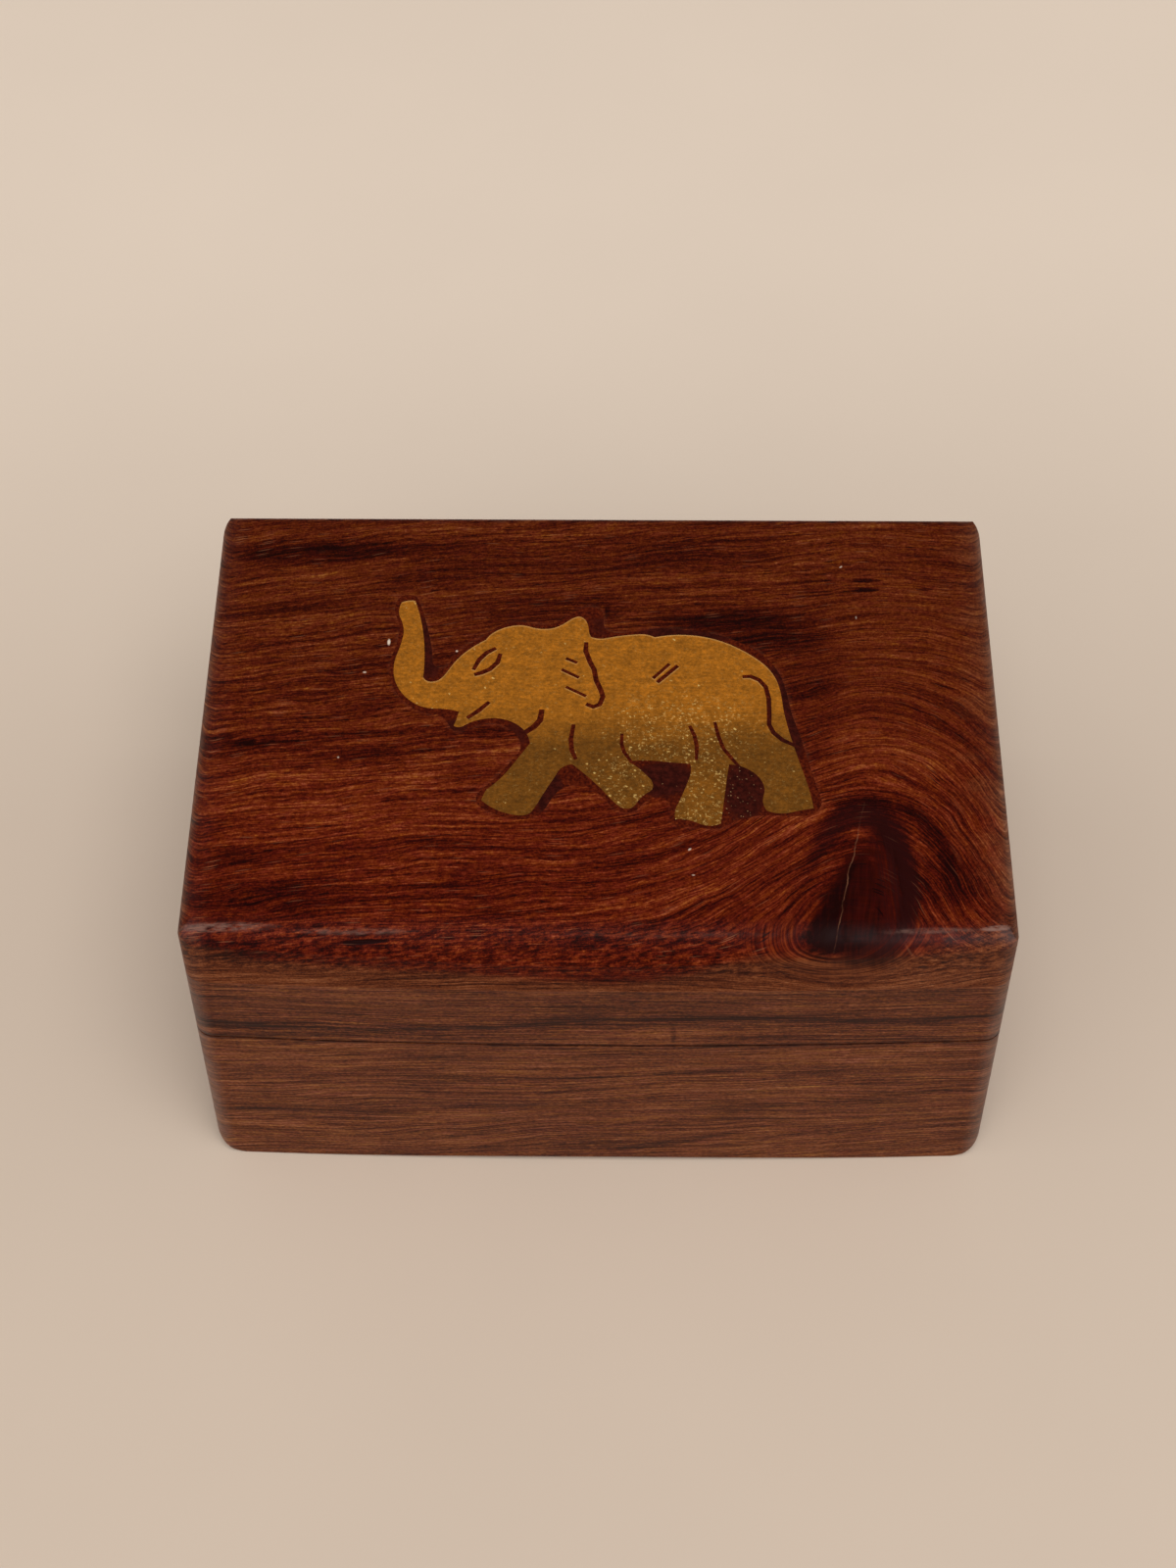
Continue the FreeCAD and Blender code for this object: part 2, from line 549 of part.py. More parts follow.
# Edge of the recess, cut wider than the brass and straight across its narrow hollows.
recess_outline = [
    (-19.95, 14.75), (-20.1, 13.4), (-19.6, 11.5), (-19.9, 8.8), (-20.3, 6.2), (-19.9, 3.8), (-18.5, 1.8),
    (-16.6, 0.6), (-15.1, 0.25), (-14.5, -0.6), (-14.2, -1.35), (-13.3, -1.6), (-12.2, -1.1), (-10.9, -0.6),
    (-9.7, -0.55), (-8.6, -1.1), (-7.8, -2.1), (-7.4, -3.2), (-8.4, -5.3), (-10.0, -7.5), (-10.95, -8.5),
    (-11.4, -9.9), (-10.3, -11.0), (-8.2, -11.85), (-6.4, -11.85), (-5.3, -11.1), (-4.2, -9.2), (-3.0, -8.0),
    (-1.4, -7.9), (0.0, -9.0), (1.3, -10.5), (2.5, -11.1), (3.7, -10.7), (4.6, -9.6), (5.8, -9.4), (6.6, -10.2),
    (6.65, -11.3), (6.75, -12.2), (8.6, -12.7), (10.8, -12.95), (12.2, -12.3), (13.8, -11.6), (15.6, -11.35),
    (17.6, -11.4), (20.0, -11.05), (20.7, -10.2), (20.4, -8.4), (19.9, -6.2), (19.5, -4.2), (19.1, -2.2),
    (18.4, 0.2), (17.95, 2.8), (17.5, 5.0), (16.7, 6.7), (15.5, 8.2), (14.0, 9.3), (12.2, 10.2), (10.3, 10.85),
    (8.4, 11.1), (6.6, 11.3), (5.2, 11.25), (3.8, 10.9), (2.0, 10.75), (0.7, 10.95), (0.3, 12.0), (0.1, 13.6),
    (-0.9, 14.0), (-2.2, 13.6), (-3.4, 12.6), (-4.7, 11.8), (-6.2, 11.7), (-7.9, 12.05), (-9.3, 11.8),
    (-10.6, 11.0), (-11.5, 10.0), (-12.5, 9.3), (-13.6, 8.2), (-14.4, 7.0), (-15.1, 6.1), (-15.8, 6.3),
    (-16.2, 7.6), (-16.5, 9.6), (-16.9, 12.0), (-17.4, 14.0), (-18.0, 15.1), (-19.1, 15.2),
]
outline_points = [point for stroke in elephant_outline for point in stroke]
drawn_length = max(x for x, y in outline_points) - min(x for x, y in outline_points)
inlay_scale = size("inlay_length") / drawn_length
line_end_share = 0.8
curve_tolerance = 0.08


def on_lid(point):
    return Vector(point[0] * inlay_scale, point[1] * inlay_scale, 0)


def smooth_edges(points, closed=False):
    # a run of tangent arcs that follows a smooth curve through the points
    curve = Part.BSplineCurve()
    curve.interpolate(Points=points, PeriodicFlag=closed)
    return [arc.toShape() for arc in curve.toBiArcs(curve_tolerance)]


def saw_line_face(width, points):
    # a thin strip of short straight runs: full width along its middle, narrower at its two ends
    places_on_lid = [on_lid(point) for point in points]
    left = []
    right = []
    last = len(places_on_lid) - 1
    for index, place in enumerate(places_on_lid):
        ahead = places_on_lid[min(index + 1, last)] - places_on_lid[max(index - 1, 0)]
        aside = Vector(-ahead.y, ahead.x, 0).normalize()
        share = line_end_share if index in (0, last) else 1.0
        aside = aside * (width * inlay_scale / 2 * share)
        left.append(place + aside)
        right.append(place - aside)
    return Part.Face(Part.makePolygon(left + right[::-1] + left[:1]))


def sunk_prism(face, thickness):
    solid = face.extrude(Vector(0, 0, -size(thickness)))
    solid.translate(Vector(0, 0, size("height")))
    return solid


strokes = [[on_lid(point) for point in stroke] for stroke in elephant_outline]
outline_edges = [edge for stroke in strokes for edge in smooth_edges(stroke)]
figure = sunk_prism(Part.Face(Part.Wire(outline_edges)), "brass_thickness")
saw_lines = [sunk_prism(saw_line_face(*line), "brass_thickness") for line in elephant_lines.values()]
elephant = doc.addObject("Part::Feature", "elephant_inlay")
elephant.Shape = figure.cut(saw_lines)
keep("elephant_inlay", elephant)

recess_edges = smooth_edges([on_lid(point) for point in recess_outline], closed=True)
recess = doc.addObject("Part::Feature", "inlay_recess")
recess.Shape = sunk_prism(Part.Face(Part.Wire(recess_edges)), "recess_depth")
keep("lid_top", cut("lid_top", boards["lid_top"], recess))
keep("lac_bed", cut("lac_bed", recess, elephant))

doc.recompute()
failed = [item.Name for item in doc.Objects if {"Invalid", "Error"} & set(item.State)]
if failed:
    raise RuntimeError("failed objects: " + ", ".join(failed))
for name, item in nodes.items():
    shape = item.Shape
    if shape.isNull() or not shape.isValid() or not shape.Solids:
        raise RuntimeError("bad shape: " + name)
    print(f"{name}: {len(shape.Solids)} solid(s), {shape.Volume:.1f} mm3")

os.makedirs("parts", exist_ok=True)
for name, item in nodes.items():
    item.Shape.exportStep(f"parts/{name}.step")
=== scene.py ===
import bpy
import json
from math import pi
from mathutils import Matrix, Vector

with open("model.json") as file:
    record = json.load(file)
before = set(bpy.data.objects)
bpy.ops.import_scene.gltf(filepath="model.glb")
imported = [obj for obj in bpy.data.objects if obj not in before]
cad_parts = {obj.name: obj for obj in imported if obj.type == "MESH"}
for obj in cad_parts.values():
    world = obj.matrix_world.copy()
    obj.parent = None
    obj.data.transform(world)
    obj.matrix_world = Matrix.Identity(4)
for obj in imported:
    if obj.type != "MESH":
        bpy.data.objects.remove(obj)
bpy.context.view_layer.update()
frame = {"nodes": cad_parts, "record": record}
scene = bpy.context.scene
scene.view_settings.view_transform = "Standard"
print("solids loaded:", len(frame["nodes"]))


# node helpers: a socket is linked, a plain value is set
def plug(tree, value, socket):
    if isinstance(value, bpy.types.NodeSocket):
        tree.links.new(value, socket)
    else:
        socket.default_value = value


def calc(tree, operation, a, b=0.0, c=0.0, clamp=False):
    node = tree.nodes.new("ShaderNodeMath")
    node.operation = operation
    node.use_clamp = clamp
    for value, socket in zip((a, b, c), node.inputs):
        plug(tree, value, socket)
    return node.outputs[0]


def times(tree, first, *others):
    for other in others:
        first = calc(tree, "MULTIPLY", first, other)
    return first


def plus(tree, first, *others):
    for other in others:
        first = calc(tree, "ADD", first, other)
    return first


def minus(tree, a, b):
    return calc(tree, "SUBTRACT", a, b)


def over(tree, a, b):
    return calc(tree, "DIVIDE", a, b)


def higher(tree, a, b):
    return calc(tree, "MAXIMUM", a, b)


def lower(tree, a, b):
    return calc(tree, "MINIMUM", a, b)


def away(tree, value, middle=None):
    # distance from zero or from a middle
    if middle is not None:
        value = minus(tree, value, middle)
    return calc(tree, "ABSOLUTE", value)


def addShare(tree, base, mask, change):
    return calc(tree, "MULTIPLY_ADD", mask, change, base)


def vec(tree, operation, a, b=(0, 0, 0), scale=1.0):
    node = tree.nodes.new("ShaderNodeVectorMath")
    node.operation = operation
    plug(tree, a, node.inputs[0])
    plug(tree, b, node.inputs[1])
    plug(tree, scale, node.inputs[3])
    return node.outputs["Value" if operation in ("DOT_PRODUCT", "LENGTH") else "Vector"]


def joinXyz(tree, x, y, z=0.0):
    node = tree.nodes.new("ShaderNodeCombineXYZ")
    for value, socket in zip((x, y, z), node.inputs):
        plug(tree, value, socket)
    return node.outputs[0]


def splitXyz(tree, vector):
    node = tree.nodes.new("ShaderNodeSeparateXYZ")
    plug(tree, vector, node.inputs[0])
    return node.outputs


def noise(tree, vector, detail=2.0, rough=0.5, scale=1.0):
    # the scale is one number, or one for each direction
    if isinstance(scale, tuple):
        vector = vec(tree, "MULTIPLY", vector, scale)
        scale = 1.0
    node = tree.nodes.new("ShaderNodeTexNoise")
    plug(tree, vector, node.inputs["Vector"])
    plug(tree, scale, node.inputs["Scale"])
    plug(tree, detail, node.inputs["Detail"])
    plug(tree, rough, node.inputs["Roughness"])
    return node.outputs["Fac"]


def flatNoise(tree, a, b, scales, detail=2.0, rough=0.5):
    # noise over two values, each with its own scale
    return noise(tree, joinXyz(tree, times(tree, a, scales[0]), times(tree, b, scales[1])), detail, rough)


def cells(tree, vector):
    node = tree.nodes.new("ShaderNodeTexVoronoi")
    plug(tree, vector, node.inputs["Vector"])
    node.inputs["Scale"].default_value = 1.0
    return node.outputs["Distance"], splitXyz(tree, node.outputs["Color"])


def mapRange(tree, value, low, high, atLow=0.0, atHigh=1.0, kind="LINEAR"):
    node = tree.nodes.new("ShaderNodeMapRange")
    node.interpolation_type = kind
    for number, socket in zip((value, low, high, atLow, atHigh), node.inputs):
        plug(tree, number, socket)
    return node.outputs[0]


def fade(tree, value, low, high, atLow=0.0, atHigh=1.0):
    return mapRange(tree, value, low, high, atLow, atHigh, "SMOOTHSTEP")


def overlap(tree, measures, parts):
    # the product of several fades: the name of what is measured, and its limits
    return times(tree, *(fade(tree, measures[name], *limits) for name, limits in parts))


def swing(tree, value, weight):
    # a 0..1 pattern as a change up or down
    return times(tree, minus(tree, value, 0.5), weight)


mostNoise = (0.3, 0.7)  # where most of a noise lies


def patchy(tree, vector, scale, atLow, atHigh, detail=4.0, rough=0.5):
    # uneven strength between two values
    return mapRange(tree, noise(tree, vector, detail, rough, scale), *mostNoise, atLow, atHigh)


def rgba(colour):
    return (*colour, 1.0)


def blend(tree, share, a, b, mode="MIX"):
    node = tree.nodes.new("ShaderNodeMix")
    node.data_type = "RGBA"
    node.blend_type = mode
    plug(tree, share, node.inputs[0])
    for value, socket in zip((a, b), node.inputs[6:8]):
        plug(tree, rgba(value) if isinstance(value, tuple) else value, socket)
    return node.outputs[2]


def dim(tree, colour, shade):
    return blend(tree, 1.0, colour, joinXyz(tree, shade, shade, shade), "MULTIPLY")


def ramp(tree, value, stops):
    node = tree.nodes.new("ShaderNodeValToRGB")
    bar = node.color_ramp
    while len(bar.elements) < len(stops):
        bar.elements.new(0.5)
    for element, (place, colour) in zip(bar.elements, stops):
        element.position = place
        element.color = rgba(colour)
    plug(tree, value, node.inputs[0])
    return node.outputs[0]


curveReach = (-40, 40)  # mm, both ways


def pathCurve(tree, value, points):
    # a drawn line: points (along, height) in mm
    low, high = curveReach
    node = tree.nodes.new("ShaderNodeFloatCurve")
    curve = node.mapping.curves[0]
    while len(curve.points) < len(points):
        curve.points.new(0.5, 0.5)
    for point, (run, height) in zip(curve.points, points):
        point.location = ((run - low) / (high - low), (height - low) / (high - low))
    node.mapping.update()
    plug(tree, mapRange(tree, value, low, high), node.inputs["Value"])
    return addShare(tree, low, node.outputs[0], high - low)


def newGroup(name, inputs, outputs):
    tree = bpy.data.node_groups.new(name, "ShaderNodeTree")
    for label, value in inputs.items():
        kind = "NodeSocketVector" if isinstance(value, tuple) else "NodeSocketFloat"
        socket = tree.interface.new_socket(label, in_out="INPUT", socket_type=kind)
        socket.default_value = value
    for label in outputs:
        tree.interface.new_socket(label, in_out="OUTPUT", socket_type="NodeSocketFloat")
    return tree, tree.nodes.new("NodeGroupInput").outputs, tree.nodes.new("NodeGroupOutput").inputs


def useGroup(tree, group, **values):
    node = tree.nodes.new("ShaderNodeGroup")
    node.node_tree = group
    for label, value in values.items():
        plug(tree, value, node.inputs[label])
    return node.outputs


def newMaterial(name):
    material = bpy.data.materials.new(name)
    material.use_nodes = True
    tree = material.node_tree
    shader = tree.nodes["Principled BSDF"]
    coords = tree.nodes.new("ShaderNodeTexCoord").outputs["Object"]
    point = vec(tree, "SCALE", coords, scale=1000.0)  # millimetres on the piece
    return material, tree, shader, point


def bumpFrom(tree, shader, height, strength, distance):
    node = tree.nodes.new("ShaderNodeBump")
    node.inputs["Strength"].default_value = strength
    node.inputs["Distance"].default_value = distance
    plug(tree, height, node.inputs["Height"])
    plug(tree, node.outputs[0], shader.inputs["Normal"])


# camera and light
cameraView = {
    "place": (0.001395, -0.16995, 0.25126),
    "pitch": 0.92046,  # radians below level
    "yaw": -0.01492,
    "roll": 0.00681,
    "lens": 65.73, "sensor": 36.0,  # mm
    "nearest": 0.01,
}


def placeCamera(values):
    data = bpy.data.cameras.new("camera")
    data.lens = values["lens"]
    data.sensor_width = values["sensor"]
    data.clip_start = values["nearest"]
    camera = bpy.data.objects.new("camera", data)
    scene.collection.objects.link(camera)
    turn = Matrix.Rotation(-values["yaw"], 4, "Z")
    tilt = Matrix.Rotation(pi / 2 - values["pitch"], 4, "X")
    lean = Matrix.Rotation(-values["roll"], 4, "Z")
    camera.matrix_world = Matrix.Translation(values["place"]) @ turn @ tilt @ lean
    scene.camera = camera


studio = {
    # name, place in metres, size, power
    "lamps": [("keyLight", (0.10, -0.40, 0.92), 0.7, 5.0), ("fillLight", (-0.55, -0.95, 0.55), 0.9, 1.4)],
    "aim": (0, 0, 0.03),
    "skyColour": (1.0, 0.96, 0.92),
    "sky": (-0.1, 0.5, 0.64, 0.28),  # strength in front of the box and behind it
    "beyond": (0.42, 0.35, 0.28),  # what the camera sees past the floor
    "floorReach": 12.0, "floorDrop": 0.00002,
    # floor colours: painted light, lighter behind the box than in front of it
    "floorNear": (0.67, 0.55, 0.445), "floorFar": (0.83, 0.70, 0.58), "floorFade": (0.0, 120.0),
    "floorScale": 0.02, "floorTint": (0.97, 1.0), "floorRoughness": 0.9, "floorSheen": 0.1,
}


def areaLight(name, place, size, power, aim):
    data = bpy.data.lights.new(name, "AREA")
    data.shape = "DISK"
    data.size = size
    data.energy = power
    lamp = bpy.data.objects.new(name, data)
    scene.collection.objects.link(lamp)
    lamp.location = place
    toBox = Vector(aim) - Vector(place)
    lamp.rotation_euler = toBox.to_track_quat("-Z", "Y").to_euler()


def makeSky(values):
    # an even soft sky, a little darker behind the box
    world = bpy.data.worlds.new("studio")
    scene.world = world
    world.use_nodes = True
    tree = world.node_tree
    sky = tree.nodes["Background"]
    sky.inputs["Color"].default_value = rgba(values["skyColour"])
    toward = splitXyz(tree, tree.nodes.new("ShaderNodeTexCoord").outputs["Generated"])[1]
    plug(tree, fade(tree, toward, *values["sky"]), sky.inputs["Strength"])
    beyond = tree.nodes.new("ShaderNodeBackground")
    beyond.inputs["Color"].default_value = rgba(values["beyond"])
    mix = tree.nodes.new("ShaderNodeMixShader")
    plug(tree, tree.nodes.new("ShaderNodeLightPath").outputs["Is Camera Ray"], mix.inputs[0])
    plug(tree, sky.outputs[0], mix.inputs[1])
    plug(tree, beyond.outputs[0], mix.inputs[2])
    plug(tree, mix.outputs[0], tree.nodes["World Output"].inputs["Surface"])


def makeFloor(values):
    mesh = bpy.data.meshes.new("floor")
    far = values["floorReach"]
    mesh.from_pydata([(-far, -far, 0), (far, -far, 0), (far, far, 0), (-far, far, 0)], [], [(0, 1, 2, 3)])
    floor = bpy.data.objects.new("floor", mesh)
    floor.location.z = -values["floorDrop"]
    scene.collection.objects.link(floor)
    material, tree, shader, point = newMaterial("paleFloor")
    # painted light: the floor lighter behind the box than in front
    litBehind = fade(tree, splitXyz(tree, point)[1], *values["floorFade"])
    colour = blend(tree, litBehind, values["floorNear"], values["floorFar"])
    colour = dim(tree, colour, patchy(tree, point, values["floorScale"], *values["floorTint"], detail=3.0))
    plug(tree, colour, shader.inputs["Base Color"])
    shader.inputs["Roughness"].default_value = values["floorRoughness"]
    shader.inputs["Specular IOR Level"].default_value = values["floorSheen"]
    mesh.materials.append(material)


placeCamera(cameraView)
for lampName, lampPlace, lampSize, lampPower in studio["lamps"]:
    areaLight(lampName, lampPlace, lampSize, lampPower, studio["aim"])
makeSky(studio)
makeFloor(studio)
print("camera and studio placed")

# shared effects
grainSway = {
    "driftScale": (0.07, 0.16, 0.16), "drift": 4.0,  # waves per mm, and mm
    "rippleScale": (0.3, 0.8, 0.8), "ripple": 0.35,
}


def makeGrainFlow(values):
    # long straight grain with a slow wander
    tree, given, out = newGroup("grainFlow", {
        "Point": (0, 0, 0), "Origin": (0, 0, 0), "Grain": (1, 0, 0), "Cross": (0, 0, 1),
        "Wander": 0.5, "Arch": 0.0,
    }, ["Along", "Across"])
    drift = noise(tree, given["Point"], detail=2.0, scale=values["driftScale"])
    ripple = noise(tree, given["Point"], detail=1.0, scale=values["rippleScale"])
    sway = plus(tree, swing(tree, drift, values["drift"]), swing(tree, ripple, values["ripple"]))
    offset = vec(tree, "SUBTRACT", given["Point"], given["Origin"])
    run = vec(tree, "DOT_PRODUCT", offset, given["Grain"])
    level = vec(tree, "DOT_PRODUCT", offset, given["Cross"])
    rise = addShare(tree, level, sway, given["Wander"])
    plug(tree, run, out["Along"])
    plug(tree, addShare(tree, rise, times(tree, run, run), given["Arch"]), out["Across"])
    return tree


# each pattern: length along the grain and width across it in mm at a pitch of 1, then its noise,
# or the share of places that have a dash
woodPatterns = {
    "Bands": {"size": (26.0, 2.2), "detail": 2.0, "rough": 0.5},
    "Threads": {"size": (13.0, 0.62), "detail": 2.0, "rough": 0.5, "contrast": (0.25, 0.75)},
    "Lines": {"size": (5.0, 0.25), "detail": 2.0, "rough": 0.6, "contrast": (0.3, 0.7)},
    "Flecks": {"size": (0.7, 0.16), "detail": 1.0, "rough": 0.5},
    "Pores": {"size": (2.0, 0.22), "dashes": 0.3},
    "Glints": {"size": (2.8, 0.19), "dashes": 0.28},
    "Hue": {"size": (1.6, 0.6), "detail": 4.0, "rough": 0.7, "contrast": (0.28, 0.72)},
}
patternDepth = 0.05  # change into the wood, per mm
dashFade = (0.10, 0.36, 1.0, 0.0)  # from the middle of a dash to its end
dashFull = 0.4  # part of the dashes that have their full strength


def drawDashes(tree, place, share):
    near, tint = cells(tree, place)
    chosen = fade(tree, tint[0], 1.0 - share, 1.0 - share * dashFull)
    return times(tree, fade(tree, near, *dashFade), chosen)


def makeWoodFigure(patterns):
    # bands, threads, fine lines, flecks, dark pores, pale glints and hue changes drawn along the grain
    tree, given, out = newGroup("woodFigure", {
        "Along": 0.0, "Across": 0.0, "Depth": 0.0, "Pitch": 1.0,
    }, patterns)
    across = over(tree, given["Across"], given["Pitch"])
    depth = times(tree, given["Depth"], patternDepth)
    for label, values in patterns.items():
        length, width = values["size"]
        place = joinXyz(tree, over(tree, given["Along"], length), over(tree, across, width), depth)
        if "dashes" in values:
            pattern = drawDashes(tree, place, values["dashes"])
        else:
            pattern = noise(tree, place, values["detail"], values["rough"])
        if "contrast" in values:
            pattern = fade(tree, pattern, *values["contrast"])
        plug(tree, pattern, out[label])
    return tree


patchFade = (0.35, 1.0, 1.0, 0.0)  # from the middle of a patch to its rim


def makeSoftPatch():
    # a soft oval, 1 in its middle and 0 outside
    tree, given, out = newGroup("softPatch", {
        "Point": (0, 0, 0), "Middle": (0, 0, 0), "Spread": (1, 1, 1), "Slope": 0.0,
    }, ["Mask"])
    offset = splitXyz(tree, vec(tree, "SUBTRACT", given["Point"], given["Middle"]))
    lift = minus(tree, offset[1], times(tree, offset[0], given["Slope"]))
    scaled = vec(tree, "DIVIDE", joinXyz(tree, offset[0], lift), given["Spread"])
    plug(tree, fade(tree, vec(tree, "LENGTH", scaled), *patchFade), out["Mask"])
    return tree


rubbedEdge = {"samples": 4, "turn": (0.02, 0.2), "brokenScale": 0.7, "broken": (0.35, 0.65)}


def makeEdgeWear(values):
    # edges rubbed by handling, broken up by noise
    tree, given, out = newGroup("edgeWear", {"Point": (0, 0, 0), "Width": 0.0006}, ["Mask"])
    softened = tree.nodes.new("ShaderNodeBevel")
    softened.samples = values["samples"]
    plug(tree, given["Width"], softened.inputs["Radius"])
    flat = tree.nodes.new("ShaderNodeNewGeometry").outputs["Normal"]
    turn = minus(tree, 1.0, vec(tree, "DOT_PRODUCT", softened.outputs[0], flat))
    broken = noise(tree, given["Point"], detail=4.0, rough=0.6, scale=values["brokenScale"])
    broken = fade(tree, broken, *values["broken"])
    plug(tree, times(tree, fade(tree, turn, *values["turn"]), broken), out["Mask"])
    return tree


speckShape = {"shoveScale": 1.7, "shove": (1.2, -0.9), "spot": (0.12, 0.36, 1.0, 0.0)}


def makeSpecks(values):
    # scattered specks of dust or bright metal
    tree, given, out = newGroup("specks", {
        "Point": (0, 0, 0), "Size": 0.5, "Chosen": 0.9,
    }, ["Mask", "Shade"])
    place = vec(tree, "SCALE", given["Point"], scale=over(tree, 1.0, given["Size"]))
    shove = noise(tree, place, scale=values["shoveScale"], detail=3.0)
    aside = joinXyz(tree, *(swing(tree, shove, amount) for amount in values["shove"]))
    near, tint = cells(tree, vec(tree, "ADD", place, aside))
    spot = fade(tree, near, *values["spot"])
    chosen = calc(tree, "GREATER_THAN", tint[0], given["Chosen"])
    plug(tree, times(tree, spot, chosen), out["Mask"])
    plug(tree, tint[1], out["Shade"])
    return tree


grainFlow = makeGrainFlow(grainSway)
woodFigure = makeWoodFigure(woodPatterns)
softPatch = makeSoftPatch()
edgeWear = makeEdgeWear(rubbedEdge)
specks = makeSpecks(speckShape)
print("shared effects built")


def sumPatches(tree, point, patches):
    # each patch: x, y, reach x, reach y, slope, strength
    total = 0.0
    for x, y, reachX, reachY, slope, strength in patches:
        patch = useGroup(tree, softPatch, Point=point, Middle=(x, y, 0), Spread=(reachX, reachY, 1),
                         Slope=slope)
        total = addShare(tree, total, patch["Mask"], strength)
    return total


def mixTone(tree, figure, weights):
    tone = 0.5  # the middle of the tones
    for label, weight in weights.items():
        tone = plus(tree, swing(tree, figure[label], weight), tone)
    return tone


def addWear(tree, point, colour, width, share, worn):
    mask = useGroup(tree, edgeWear, Point=point, Width=width)["Mask"]
    return blend(tree, times(tree, mask, share), colour, worn)


# tones from dark to light, as sanded upright faces and as the waxed top show them
plainTones = [
    (0.0, (0.020, 0.0042, 0.0022)), (0.28, (0.060, 0.0125, 0.0046)), (0.5, (0.122, 0.0300, 0.0092)),
    (0.75, (0.195, 0.0580, 0.0200)), (1.0, (0.31, 0.125, 0.055)),
]
waxedTones = [
    (0.0, (0.010, 0.0009, 0.0006)), (0.28, (0.040, 0.0028, 0.0008)), (0.5, (0.090, 0.0095, 0.0016)),
    (0.75, (0.165, 0.0280, 0.0055)), (1.0, (0.30, 0.088, 0.022)),
]
poreDark = -0.5  # pores and marks, as a change of tone
lineRelief = 0.5  # fine lines against the depth of a pore
lineSpan = (0.2, 0.8)  # values of the fine lines between which rough turns smooth

# knot at the front right of the top board, measured along and across the grain round it
topKnot = {
    "place": (23.8, -20.4, 38.1), "lean": (-0.144, -0.866, 0.5),
    # how far the lines climb over the knot from left to right, and how that fades in front and behind
    "climb": [(-30, 0), (-20, 0.3), (-14, 1.5), (-8, 3.6), (-3, 5.3), (0, 5.7), (3, 5.2), (7, 3.3),
              (10, 1.0), (14, -2.5)],
    "climbFront": (-9.0, 1.5, -0.35, 1.0), "climbBack": (4.0, 20.0, 1.0, 0.1),
    # the dark core: tip, widest and lowest heights, half width, tilt and how pointed
    "core": {"tip": 3.2, "waist": -1.7, "foot": -4.4, "width": 4.0, "tilt": 0.247, "point": 0.66},
    "coreEdge": (-3.0, 1.0, 0.4, 0.8), "coreEnd": 1.1, "frayScale": 0.8, "frayed": 0.45,
    # dark arches over the core: middle and reach
    "innerArch": ((-0.6, -1.0), (5.2, 5.6)), "outerArch": ((-0.3, -1.0), (8.9, 6.45)),
    "waverScale": 0.45, "waver": 0.2,
    "ringScale": (16.0, 0.15), "ringContrast": (0.35, 0.65),
    "fibreScale": (2.6, 0.5), "checkScale": (0.4, 5.0),
    # where each zone lies
    "innerDark": [("innerOff", (0.06, 0.23, 1.0, 0.0)), ("along", (-6.0, -2.5, 0.1, 1.0)),
                  ("across", (-3.5, -1.0))],
    "outerDark": [("outerOff", (0.01, 0.11, 1.0, 0.0)), ("along", (-5.0, -1.0)), ("across", (-0.5, 2.5))],
    "between": [("inner", (1.05, 1.25)), ("outer", (0.8, 1.0, 1.0, 0.0)), ("along", (1.5, 4.5))],
    "lap": [("inner", (0.7, 1.1, 1.0, 0.0)), ("leaning", (-1.0, 1.0, 1.0, 0.0))],
    "shoulder": [("inner", (0.9, 1.1, 0.85, 0.0)), ("leaning", (-1.0, 2.0))],
    "below": [("drop", (0.9, 1.05)), ("drop", (1.5, 2.6, 1.0, 0.0)), ("across", (-2.2, -0.8, 1.0, 0.0))],
    "insideHeight": (34.2, 35.4),
    # tones: a middle, then how far the patterns swing it
    "insideTone": 0.155, "insideRings": 0.24, "insideFibres": 0.5, "insideChecks": 0.2,
    "belowTone": 0.53, "belowRings": 0.65, "belowFibres": 0.3, "belowShare": 0.75,
    "changes": {"innerDark": -0.4, "outerDark": -0.34, "between": 0.02, "lap": -0.13},
    "ringPurple": 0.7, "archPurple": 0.5,
}


def layTopGrain(tree, point, knot, values):
    lean = Vector(knot["lean"]).normalized()
    grain = (Vector((1, 0, 0)) - lean * lean.x).normalized()
    flow = useGroup(tree, grainFlow, Point=point, Origin=knot["place"], Grain=tuple(grain),
                    Cross=tuple(lean.cross(grain)), Wander=values["wander"], Arch=values["arch"])
    along, across = flow["Along"], flow["Across"]
    # the lines climb over the knot on the top and dip under it on the front edge
    climb = pathCurve(tree, along, knot["climb"])
    share = times(tree, fade(tree, across, *knot["climbFront"]), fade(tree, across, *knot["climbBack"]))
    return along, across, minus(tree, across, times(tree, climb, share))


